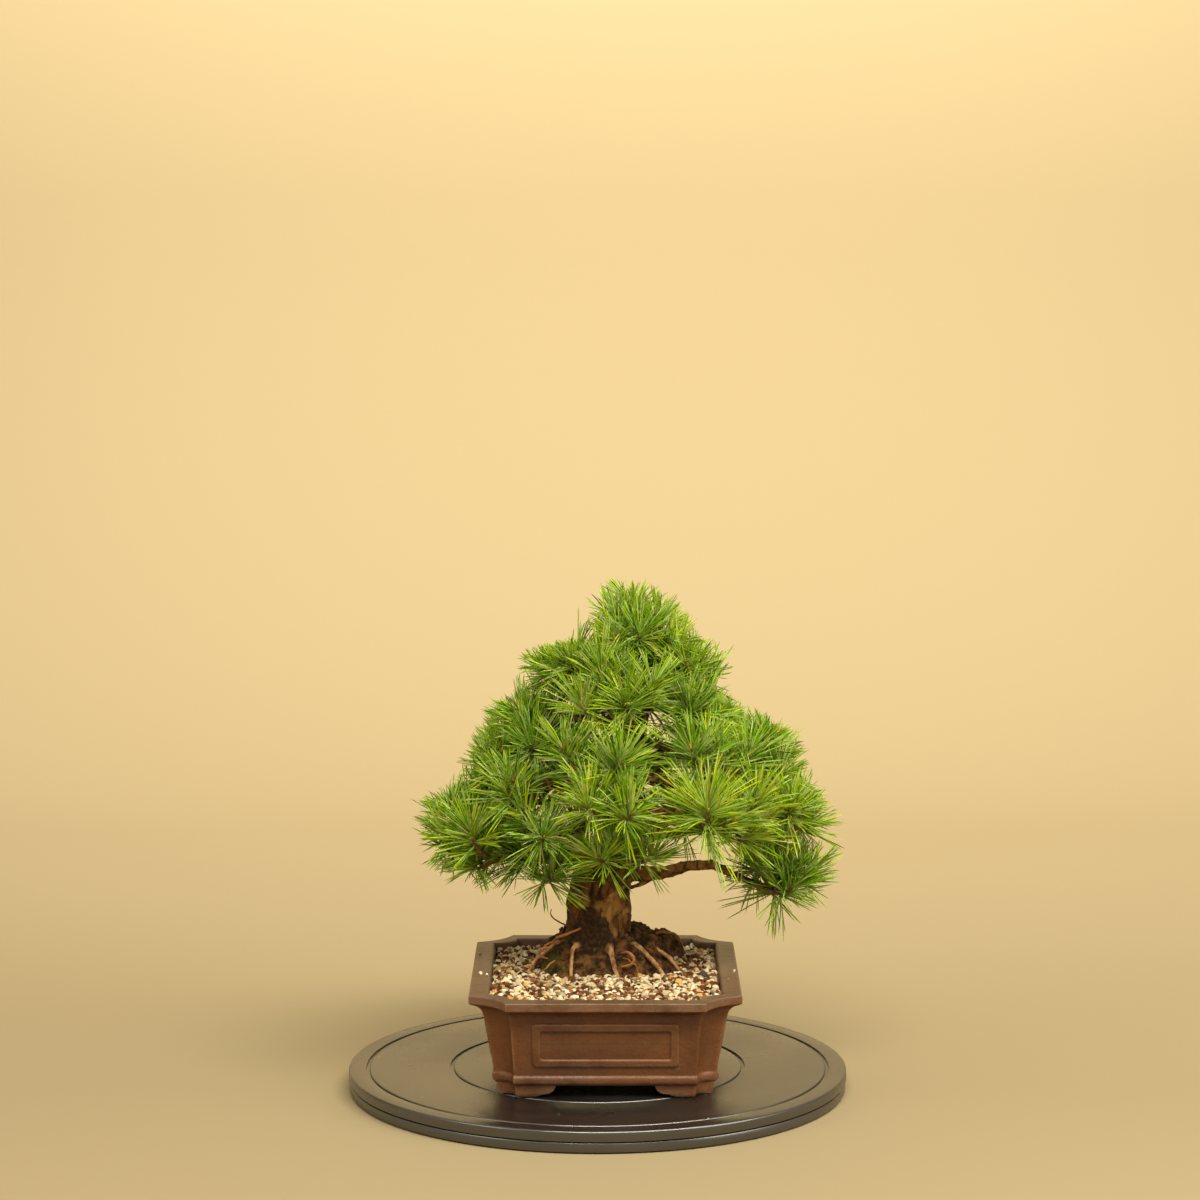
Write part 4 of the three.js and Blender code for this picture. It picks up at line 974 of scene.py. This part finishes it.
def make_rootlets():
    made = bmesh.new()
    for number, points in enumerate(rootlets):
        made.from_mesh(make_run(f"rootlet {number}", points, rootlet_sides))
    bmesh.ops.remove_doubles(made, verts=made.verts, dist=1e-6)
    for vert in made.verts:
        vert.co += noise.noise_vector(vert.co * 180) * 0.9 * MM
        vert.co += noise.noise_vector(vert.co * 520) * 0.3 * MM
    bmesh.ops.recalc_face_normals(made, faces=made.faces)
    return mesh_from("side_roots", made)


mound_mesh = refined_copy("root_mound", mound_voxel, 2, 0.4 * MM)
push_out(mound_mesh, crumble)
crumb_places = surface_places(mound_mesh, crumb_count, 31)
finish_piece("old_root_ball", mound_mesh, [make_muck()], "deck",
             ["root_mound"], 60)
crumb_earth = make_grain_material("muck crumbs and moss", crumb_shades, (0.01, 0.006, 0.003, 1), 700)
lay_grains("muck_crumbs", crumb_places, crumb_size,
           [grain_shape(seed + 40, 0.9, 0.8) for seed in range(5)], 33, crumb_earth)
peeled_root = make_matt("peeled side roots", (0.46, 0.18, 0.045, 1), 0.4, 0.85, 500, 0.0005)
noise.seed_set(rootlet_seed)
finish_piece("side_roots", make_rootlets(), [peeled_root], "deck", [], 60)


# Wood: trunk, surface roots, branches and twigs, grown as one. The frame's shape is remeshed
# fine and smoothed round. The bark is pushed out of it in plates, deep on the old trunk, with
# smooth tan places where plates fell off, shallow on young wood and peeled off the roots.
wood_voxel, bark_seed = 1.15 * MM, 36
# The middle of the trunk as (x, y, z above the deck, radius) in millimetres.
trunk_marks = [(1, 20, 92, 28), (1, 19, 126, 26), (3, 17, 146, 25), (14, 14, 172, 20.5),
               (23, 10, 200, 16.5), (22, 4, 232, 12.5), (26, 2, 262, 10)]
trunk_edge = 7
root_top = 101 * MM + deck_height
root_reach = (27, 31)
root_thinning = 1.1
flaked_place, flaked_reach = Vector((9, -6, 124)), Vector((15, 30, 16))
muck_climb, muck_climb_height, muck_climb_middle, muck_climb_half = 103, 25, -4, 13
# Two nets of grooves in the bark, as (scale, width), and how far its pattern is drawn upward.
wide_grooves, narrow_grooves = (62, 0.16), (150, 0.2)
bark_stretch = (1, 1, 0.55)
olive_low, olive_high = deck_height + 126 * MM, deck_height + 150 * MM
groove_color, bark_brown = (0.022, 0.011, 0.004, 1), (0.17, 0.07, 0.013, 1)
bark_young, bark_tan = (0.3, 0.155, 0.03, 1), (0.5, 0.25, 0.075, 1)
bark_olive = (0.15, 0.095, 0.007, 1)
root_brown, root_pale = (0.2, 0.078, 0.02, 1), (0.55, 0.31, 0.13, 1)
crust_muck, crust_clod = (0.026, 0.012, 0.004, 1), (0.08, 0.036, 0.011, 1)


def above_deck(place):
    """A place in millimetres, with its height taken from the deck."""
    return Vector((place.x, place.y, place.z - deck_height)) / MM


def softly(value):
    """Zero below nought, one above one and a smooth step between."""
    value = min(1.0, max(0.0, value))
    return value * value * (3 - 2 * value)


def trunk_share(place):
    """One on the trunk, falling to nought on its branches."""
    x, y, z = above_deck(place)
    marks = np.array(trunk_marks)
    middle_x, middle_y, radius = (np.interp(z, marks[:, 2], marks[:, axis]) for axis in (0, 1, 3))
    away = math.hypot(x - middle_x, y - middle_y)
    return softly(1 - (away - radius - 1) / trunk_edge)


def root_share(place):
    """One on the roots that run down over the root ball."""
    if place.z > root_top:
        return 0.0
    x, y, _ = above_deck(place)
    low, high = root_reach
    return softly((math.hypot(x - trunk_marks[0][0], y - trunk_marks[0][1]) - low) / (high - low))


def flaked_share(place):
    """One where the old bark has come off the trunk and shows its smooth tan underside."""
    away = above_deck(place) - flaked_place
    near = math.sqrt(sum((part / reach) ** 2 for part, reach in zip(away, flaked_reach)))
    return softly((1.2 - near) * 2.2 + noise.noise(place * 95) * 3.4)


def muck_share(place):
    """One on the jagged dark crust that climbs the front of the trunk from the root ball."""
    x, _, z = above_deck(place)
    ragged = noise.noise(place * 120) * 7 + noise.noise(place * 420) * 2.5
    beside = abs(x - muck_climb_middle) / muck_climb_half
    top = muck_climb + muck_climb_height * softly(1.5 - beside)
    return softly((top - z + ragged) / 1.6)


def groove(place, scale, width):
    """How deep a place lies in a net of grooves of a given scale, from 0 to 1."""
    drawn = Vector((place.x, place.y, place.z * 0.5))
    wander = noise.noise_vector(place * scale * 1.7) * 0.35
    return max(0.0, 1 - abs(noise.noise(drawn * scale + wander)) / width)


def bark(place):
    trunk, root = trunk_share(place), root_share(place)
    flaked, muck = flaked_share(place) * trunk, muck_share(place) * trunk
    cracks = groove(place, *wide_grooves) * 1.7 + groove(place, *narrow_grooves) * 0.8
    plates = noise.noise(place * 48) * 1.3 + noise.noise(place * 170) * 0.7
    flakes = noise.noise(place * 420) * 0.45 + noise.noise(place * 900) * 0.2
    old = (plates - cracks + flakes + 0.5) * (1 - 0.86 * flaked) - 0.7 * flaked
    crust = 0.9 + abs(noise.noise(place * 300)) * 1.6 + flakes
    old = old * (1 - muck) + crust * muck
    young = (noise.noise(place * 190) * 0.7 + flakes * 0.6) * (1 - 0.5 * root)
    return (old * trunk * (1 - root) + young * (1 - trunk) - root_thinning * root) * MM


def crack_share(place):
    """How deep a place lies in a crack, less where the bark has flaked off."""
    cracked = groove(place, *wide_grooves) + groove(place, *narrow_grooves) * 0.5
    return min(1.0, cracked * (1 - 0.8 * flaked_share(place)))


def mark_wood(mesh):
    """Marks the kinds of surface for the colours."""
    for name, share in wood_shares.items():
        set_marks(mesh, name, [share(vert.co) for vert in mesh.vertices])


def make_plates_group():
    """Scaly bark: plates that each have a tone, and dark seams between them."""
    inputs = {"Vector": (0, 0, 0), "Scale": 100}
    tree, given, result = shader_group("bark plates", inputs, ["Tone", "Seam"])
    wander = add_node(tree, "TexNoise", {"Vector": given["Vector"], "Scale": 90.0})
    bent = add_node(tree, "VectorMath", {
        0: wander.outputs["Color"], 1: (0.014, 0.014, 0.014), 2: given["Vector"],
    }, operation="MULTIPLY_ADD").outputs[0]
    cells, edges = (add_node(tree, "TexVoronoi", {"Vector": bent, "Scale": given["Scale"]},
                             feature=feature) for feature in ("F1", "DISTANCE_TO_EDGE"))
    tone = add_node(tree, "SeparateColor", {"Color": cells.outputs["Color"]})
    feed(tree, result, {"Tone": tone.outputs["Red"],
                        "Seam": ranged(tree, edges.outputs["Distance"], 0, 0.1, 0.8, 0)})
    return tree


wood_shares = {"trunk": trunk_share, "root": root_share, "crack": crack_share,
               "flaked": flaked_share, "muck": muck_share}
bark_plates = make_plates_group()


def make_wood_material():
    material, tree, shader = new_material("flaking pine bark")
    place = object_place(tree)
    trunk, root, crack, flaked, muck = (read_marks(tree, name) for name in wood_shares)
    drawn = add_node(tree, "Mapping", {"Vector": place, "Scale": bark_stretch}).outputs[0]
    streak = patches(tree, drawn, 260.0, 0.3, 0.7)
    young = mixed(tree, streak, bark_brown, bark_young)
    old = mixed(tree, patches(tree, drawn, 105.0, 0.42, 0.6), bark_brown, young)
    high = risen(tree, place, olive_low, olive_high)
    green = times(tree, patches(tree, place, 70.0, 0.42, 0.6), high)
    old = mixed(tree, green, old, bark_olive)
    old = mixed(tree, flaked, old, mixed(tree, streak, bark_tan, bark_young))
    plates = place_group(tree, bark_plates, {"Vector": drawn, "Scale": 125.0})
    toned = mixed(tree, plates["Tone"], groove_color, old)
    seam = times(tree, plates["Seam"], ranged(tree, flaked, 0, 1, 1, 0.4))
    old = mixed(tree, seam, mixed(tree, 0.68, toned, old), groove_color)
    color = mixed(tree, crack, mixed(tree, trunk, young, old), groove_color)
    crust = mixed(tree, patches(tree, place, 320.0, 0.4, 0.7), crust_muck, crust_clod)
    color = mixed(tree, muck, color, crust)
    color = mixed(tree, root, color, mixed(tree, streak, root_brown, root_pale))
    finish_surface(tree, shader, drawn, color, 600.0, 0.0004,
                   {"Roughness": 0.9, "Specular IOR Level": 0.3})
    return material


wood_mesh = refined_copy("trunk_and_branches", wood_voxel, 5, 0.55 * MM)
noise.seed_set(bark_seed)
mark_wood(wood_mesh)
push_out(wood_mesh, bark)
finish_piece("trunk_and_branches_wood", wood_mesh, [make_wood_material()], "deck",
             ["trunk_and_branches"], 60)


# Sprays: each twig ends in shoots with an orange-brown bud, ringed by three-sided needles in
# bundles of five, green outside and paler on the two inner faces. Every needle of the frame
# becomes a bundle, and more bundles and short side shoots fill the crown between them.
needle_seed = 29
needle_width = 0.5 * MM
bundle_size = 5
bundle_spread = 0.28
tip_opening, back_opening = math.radians(18), math.radians(96)
needle_lift = 0.3
needle_lengths = (27 * MM, 39 * MM)
least_needle_share = 0.55
main_bundles, side_bundles, inner_bundles = 7, 14, 12
side_shoots = 2
side_shoot_length = (15 * MM, 24 * MM)
side_shoot_top = 335
inner_shoots = 56
inner_shoot_length = (12 * MM, 24 * MM)
inner_shoot_low = 158
brush_length = 19 * MM
shoot_radius = 1.5 * MM
bud_radius, bud_length = 1.35 * MM, 5.2 * MM
needle_edge_length = 12 * MM
golden_turn = math.pi * (3 - math.sqrt(5))
# The crown's outline as the front shows it: height above the deck, then how far it reaches to
# the left and right, in millimetres. It leans to the front by a share of the height.
crown_outline = np.array([
    (105, -26, 150), (118, -34, 160), (137, -64, 183), (145, -112, 188), (158, -138, 197),
    (200, -146, 200), (216, -146, 186), (230, -112, 168), (272, -100, 166), (281, -100, 138),
    (294, -90, 114), (306, -60, 96), (314, -60, 98), (328, -69, 106), (338, -60, 101),
    (349, -6, 84), (366, -8, 78), (384, -11, 58), (394, 4, 36),
])
crown_lean, crown_looseness = 0.123, 7
crown_middle = np.array([0.02, 0.01, 0])
needle_shades = [
    (0.0, (0.36, 0.17, 0.03, 1)), (0.03, (0.3, 0.18, 0.03, 1)), (0.05, (0.034, 0.11, 0.0003, 1)),
    (0.35, (0.125, 0.29, 0.0004, 1)), (0.7, (0.31, 0.46, 0.001, 1)), (1.0, (0.54, 0.6, 0.006, 1)),
]
# The colour that darkens each needle towards its base is painted shade, deep inside its bundle.
band_color, needle_base_shade = (0.52, 0.6, 0.22, 1), (0.03, 0.05, 0.006, 1)
tip_color = (0.4, 0.3, 0.07, 1)
tone_spread, brown_share, brown_tone = 0.2, 0.02, 0.02
# Tone from dark blue-green to light yellow-green and needle length of sprays that differ from the
# rest.
# The tone is partly the needles' own colour and partly painted light and shade: the low sprays on
# the left are darkest.
spray_shades = {
    "spray_front_star": (0.54, 1.25), "spray_left_under": (0.24, 1.12),
    "spray_left_low": (0.3, 1.15), "spray_left_front": (0.45, 1),
    "spray_low_front": (0.42, 0.95), "spray_right_low": (0.42, 1.12),
    "spray_front_right": (0.55, 1.05), "spray_crown_star": (0.55, 1),
}


def stem_shape(sides, cuts, radii):
    """A straight tapered stem of length one along Z, cut by rings at the given heights."""
    made = bmesh.new()
    bmesh.ops.create_cone(made, cap_ends=True, segments=sides, radius1=1, radius2=1, depth=1,
                          matrix=Matrix.Translation((0, 0, 0.5)))
    for cut in cuts:
        bmesh.ops.bisect_plane(made, geom=made.verts[:] + made.edges[:] + made.faces[:],
                               plane_co=(0, 0, cut), plane_no=(0, 0, 1))
    heights = [0, *cuts, 1]
    for vert in made.verts:
        radius = float(np.interp(vert.co.z, heights, radii))
        vert.co.x *= radius
        vert.co.y *= radius
    bmesh.ops.remove_doubles(made, verts=made.verts, dist=1e-4)
    bmesh.ops.recalc_face_normals(made, faces=made.faces)
    return template_arrays(made)


def on_curve(start, bend, end, along):
    """A place on the curve that leaves the start toward the bend and reaches the end."""
    return start * (1 - along) ** 2 + 2 * bend * along * (1 - along) + end * along ** 2


def bent_copies(template, lines, widths, rolls):
    """Copies of a stem, each bent along its own curve from start over bend to end."""
    points, faces = template
    starts, bends, ends = (line[:, None, :] for line in lines)
    along = points[:, 2][None, :, None]
    heading = unit((bends - starts) * (1 - along) + (ends - bends) * along)
    chord = ends - starts
    steep = np.abs(chord[:, :, 2:]) > 0.8 * np.linalg.norm(chord, axis=2)[:, :, None]
    side = unit(np.cross(heading, np.where(steep, [1.0, 0, 0], [0, 0, 1.0])))
    other = np.cross(heading, side)
    cos, sin = np.cos(rolls)[:, None, None], np.sin(rolls)[:, None, None]
    across, upward = (points[None, :, axis:axis + 1] * widths[:, None, None] for axis in (0, 1))
    moved = (on_curve(starts, bends, ends, along) + (side * cos + other * sin) * across
             + (other * cos - side * sin) * upward)
    return in_one_row(moved, faces)


def frame_needles(node):
    """Root and tip of each needle of a spray in the frame, and the spray's butt."""
    made = bmesh.new()
    made.from_mesh(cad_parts[node].data)
    bmesh.ops.remove_doubles(made, verts=made.verts, dist=2e-5)
    roots, tips, core = [], [], []
    for vert in made.verts:
        if min(edge.calc_length() for edge in vert.link_edges) > needle_edge_length:
            feet = [edge.other_vert(vert).co for edge in vert.link_edges]
            roots.append(sum(feet, Vector()) / len(feet))
            tips.append(vert.co.copy())
        else:
            core.append(vert.co.copy())
    made.free()
    gaps = [wood_surface.find_nearest(place)[3] for place in core]
    nearest = sorted(range(len(core)), key=gaps.__getitem__)[:3]
    butt = sum((core[number] for number in nearest), Vector()) / 3
    return np.array(roots), np.array(tips), np.array(butt)


def split_shoots(roots):
    """Sorts needle roots into the spray's two shoots, by which bunch each is nearer to."""
    spans = np.linalg.norm(roots[:, None] - roots[None], axis=2)
    first, second = np.unravel_index(spans.argmax(), spans.shape)
    centres = np.array([roots[first], roots[second]])
    for _ in range(6):
        nearer = np.linalg.norm(roots[:, None] - centres[None], axis=2).argmin(axis=1)
        centres = np.array([roots[nearer == side].mean(axis=0) for side in (0, 1)])
    return [np.flatnonzero(nearer == side) for side in (0, 1)]


class Shoot:
    """One shoot, on a curve from its start to its bud, with its own and its added needles."""

    def __init__(self, start, bud, heading, bundles, lines=None):
        self.start, self.bud, self.heading, self.bundles = start, bud, heading, bundles
        self.bend = bud - heading * 0.5 * np.linalg.norm(bud - start)
        steps = self.at(np.linspace(0, 1, 12))
        self.length = np.linalg.norm(np.diff(steps, axis=0), axis=1).sum()
        self.roots, self.tips = lines or (np.empty((0, 3)), np.empty((0, 3)))

    def at(self, along):
        along = np.clip(np.atleast_1d(along), 0, 1)[:, None]
        return on_curve(self.start, self.bend, self.bud, along)

    def own_lines(self):
        """The frame's needles, with their roots brought onto the shoot."""
        forward = self.roots @ self.heading
        back = (self.bud @ self.heading - forward) / self.length
        return self.at(1 - back), self.tips

    def added_lines(self, chance, stretch):
        """Root and tip of the bundles that fill the shoot's rings, turned by the golden angle."""
        back = (np.arange(self.bundles) + chance.uniform(0, 1, self.bundles)) / self.bundles
        turns = np.arange(self.bundles) * golden_turn + chance.uniform(0, 2 * math.pi)
        opening = tip_opening + (back_opening - tip_opening) * back ** 0.8
        opening = opening + chance.uniform(-0.16, 0.16, self.bundles)
        side = unit(np.cross(self.heading, (0.13, 0.07, 1)))
        other = np.cross(self.heading, side)
        out = np.cos(turns)[:, None] * side + np.sin(turns)[:, None] * other
        lines = np.cos(opening)[:, None] * self.heading + np.sin(opening)[:, None] * out
        lines[:, 2] += needle_lift
        roots = self.at(1 - back * min(1.0, brush_length / self.length))
        lengths = chance.uniform(*needle_lengths, (self.bundles, 1)) * stretch
        return roots, roots + unit(lines) * lengths


def main_shoots(node):
    """The two shoots of a spray in the frame."""
    roots, tips, butt = frame_needles(node)
    found = []
    for chosen in split_shoots(roots):
        heading = unit(unit(tips[chosen] - roots[chosen]).mean(axis=0))
        bud = roots[chosen][(roots[chosen] @ heading).argmax()] + heading * 0.8 * MM
        found.append(Shoot(butt, bud, heading, main_bundles, (roots[chosen], tips[chosen])))
    return found


def grown_shoot(start, heading, lengths, bundles, chance):
    heading = unit(heading)
    return Shoot(start, start + heading * chance.uniform(*lengths), heading, bundles)


def shoots_beside(shoot, chance):
    """Short side shoots, which leave a shoot near its start and turn up."""
    for _ in range(side_shoots // 2):
        start = shoot.at(chance.uniform(0.15, 0.5))[0]
        heading = shoot.heading * 0.5 + unit(chance.normal(size=3)) * 0.75 + np.array([0, 0, 0.6])
        yield grown_shoot(start, heading, side_shoot_length, side_bundles, chance)


def shoots_on_wood(chance):
    """Short shoots on the branches, which fill the crown from inside."""
    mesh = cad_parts["trunk_and_branches"].data
    spots = [vert for vert in mesh.vertices
             if above_deck(vert.co).z > inner_shoot_low and trunk_share(vert.co) < 0.5]
    for number in chance.choice(len(spots), inner_shoots, replace=False):
        vert = spots[number]
        outward = np.array([vert.co.x, vert.co.y, 0]) - crown_middle
        heading = np.array(vert.normal) * 0.6 + unit(outward) * 0.5 + np.array([0, 0, 0.6])
        yield grown_shoot(np.array(vert.co), heading, inner_shoot_length, inner_bundles, chance)


def any_across(headings, chance):
    """Random unit vectors at right angles to the headings."""
    drawn = chance.normal(size=headings.shape)
    return unit(drawn - headings * np.sum(drawn * headings, axis=1)[:, None])


def bundle_needles(roots, tips, chance):
    """Five needles for each bundle, spread a little round its own line."""
    starts = np.repeat(roots, bundle_size, axis=0)
    ends = np.repeat(tips, bundle_size, axis=0)
    lengths = np.linalg.norm(ends - starts, axis=1)[:, None]
    headings = (ends - starts) / lengths
    spread = any_across(headings, chance) * chance.uniform(0.25, 1, (len(starts), 1))
    headings = unit(headings + spread * bundle_spread)
    return starts, headings, lengths * chance.uniform(0.86, 1.03, lengths.shape)


def crown_shares(starts, headings, lengths, chance):
    """How much of each needle lies inside the crown's outline and the frame's box."""
    loose = chance.normal(0, crown_looseness, len(starts))
    kept = np.zeros(len(starts))
    for share in np.linspace(0.1, 1, 19):
        x, y, z = ((starts + headings * lengths * share) / MM).T
        seen = z - deck_height / MM + crown_lean * y
        left, right = (np.interp(seen, crown_outline[:, 0], crown_outline[:, side])
                       for side in (1, 2))
        low = z < cad_box[1].z / MM - 0.4
        kept[(x > left - loose) & (x < right + loose) & low] = share
    return kept


def stem_part(template, lines, widths, rolls, tones, material):
    """One part for joined_mesh: bent copies with their own tone, and the way along each."""
    points, faces = bent_copies(template, lines, widths, rolls)
    marks = {
        "tone": np.repeat(tones, len(template[0])),
        "along": np.tile(template[0][:, 2], len(lines[0])),
    }
    return points, faces, material, marks


def shoot_parts(shoot, shade, stretch, chance):
    own_roots, own_tips = shoot.own_lines()
    own_tips = own_roots + (own_tips - own_roots) * stretch
    more_roots, more_tips = shoot.added_lines(chance, stretch)
    starts, headings, lengths = bundle_needles(
        np.concatenate([own_roots, more_roots]), np.concatenate([own_tips, more_tips]), chance)
    shares = crown_shares(starts, headings, lengths, chance)
    lengths = lengths * shares[:, None]
    kept = shares > least_needle_share
    starts, headings, lengths = starts[kept], headings[kept], lengths[kept]
    count = len(starts)
    sag = any_across(headings, chance) * 0.5 + np.array([0, 0, -0.5])
    ends = starts + headings * lengths
    bends = starts + headings * lengths * 0.5 - sag * lengths * chance.uniform(0, 0.2, (count, 1))
    tones = np.clip(shade + chance.normal(0, tone_spread, count), 0.06, 1)
    tones[chance.uniform(0, 1, count) < brown_share] = brown_tone
    widths = needle_width * chance.uniform(0.85, 1.15, count)
    turns = chance.uniform(0, 2 * math.pi, count)
    yield stem_part(needle_shape, (starts, bends, ends), widths, turns, tones, 0)
    none = np.zeros(1)
    stem = (shoot.start[None], shoot.bend[None], shoot.bud[None])
    yield stem_part(shoot_shape, stem, np.array([shoot_radius]), none, none, 1)
    tip = [shoot.bud[None] + shoot.heading * bud_length * step for step in (0, 0.5, 1)]
    yield stem_part(bud_shape, tip, np.array([bud_radius]), none, none, 2)


def make_needle_material():
    material, tree, shader = new_material("white pine needles")
    green = shade_ramp(tree, "tone", needle_shades)
    waxy = patches(tree, object_place(tree), 130.0, 0.36, 0.62)
    bloom = times(tree, waxy, read_marks(tree, "banded"))
    color = mixed(tree, bloom, green, mixed(tree, 0.5, green, band_color))
    along = read_marks(tree, "along")
    # Painted shade: each needle darkens towards its base, deep inside its bundle.
    color = mixed(tree, ranged(tree, along, 0, 0.22, 0.45), needle_base_shade, color)
    color = mixed(tree, ranged(tree, along, 0.93, 1, 0, 0.6), color, tip_color)
    feed(tree, shader, {"Base Color": color, "Roughness": 0.5, "Specular IOR Level": 0.1})
    return material


def inner_faces(template):
    """Which triangles of the needle's shape lie on two of its three sides."""
    points, faces = template
    middles = points[faces].mean(axis=1)
    side = np.round(np.arctan2(middles[:, 1], middles[:, 0]) / (2 * math.pi / 3)).astype(int) % 3
    return side > 0


def mark_bands(mesh):
    """Marks the two inner faces of each needle, which carry the pale bands."""
    numbers = np.empty(len(mesh.polygons), np.int32)
    mesh.polygons.foreach_get("material_index", numbers)
    within = (np.cumsum(numbers == 0) - 1) % len(needle_shape[1])
    banded = (numbers == 0) & needle_bands[within]
    set_marks(mesh, "banded", banded.astype(np.float32), "FACE")


wood_surface = node_surface("trunk_and_branches")
needle_shape = stem_shape(3, [0.12, 0.5, 0.86], [0.8, 1.0, 1.0, 0.92, 0.0])
needle_bands = inner_faces(needle_shape)
shoot_shape = stem_shape(8, [0.12, 0.25, 0.4, 0.55, 0.7, 0.82, 0.92],
                         [1.1, 1.05, 1, 1, 0.95, 1, 1, 1, 0.7])
bud_shape = stem_shape(7, [0.1, 0.3, 0.55, 0.8], [0.7, 1.0, 0.95, 0.7, 0.4, 0.0])
needle_material = make_needle_material()
shoot_bark = make_matt("young shoot bark", (0.11, 0.055, 0.024, 1), 2.2, 0.8, 900, 0.0003)
bud_scales = make_matt("orange-brown bud", (0.5, 0.2, 0.045, 1), 1.5, 0.6, 1200, 0.0002)

needle_chance = np.random.default_rng(needle_seed)
sprays = {node: main_shoots(node) for node in sorted(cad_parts) if node.startswith("spray_")}
for spray_shoots in sprays.values():
    for main in spray_shoots[:]:
        if above_deck(Vector(main.bud)).z < side_shoot_top:
            spray_shoots.extend(shoots_beside(main, needle_chance))
for inner in shoots_on_wood(needle_chance):
    nearest_spray = min(sprays.values(),
                        key=lambda shoots: np.linalg.norm(shoots[0].start - inner.bud))
    nearest_spray.append(inner)
for spray_node, spray_shoots in sprays.items():
    spray_place = np.mean([shoot.bud for shoot in spray_shoots], axis=0)
    # Painted light and shade: a spray's tone grows lighter and yellower to the right and higher up,
    # where the light falls.
    painted_light_shade = 0.45 + 0.12 * spray_place[0] + 0.4 * (spray_place[2] - 0.28)
    spray_shade, spray_stretch = spray_shades.get(spray_node, (painted_light_shade, 1))
    spray_parts = []
    for shoot in spray_shoots:
        shoot_shade = spray_shade + needle_chance.uniform(-0.12, 0.14)
        spray_parts.extend(shoot_parts(shoot, shoot_shade, spray_stretch, needle_chance))
    spray_name = "needles_" + spray_node[len("spray_"):]
    spray_mesh = joined_mesh(spray_name, spray_parts)
    mark_bands(spray_mesh)
    finish_piece(spray_name, spray_mesh, [needle_material, shoot_bark, bud_scales], "deck",
                 [spray_node], 70)
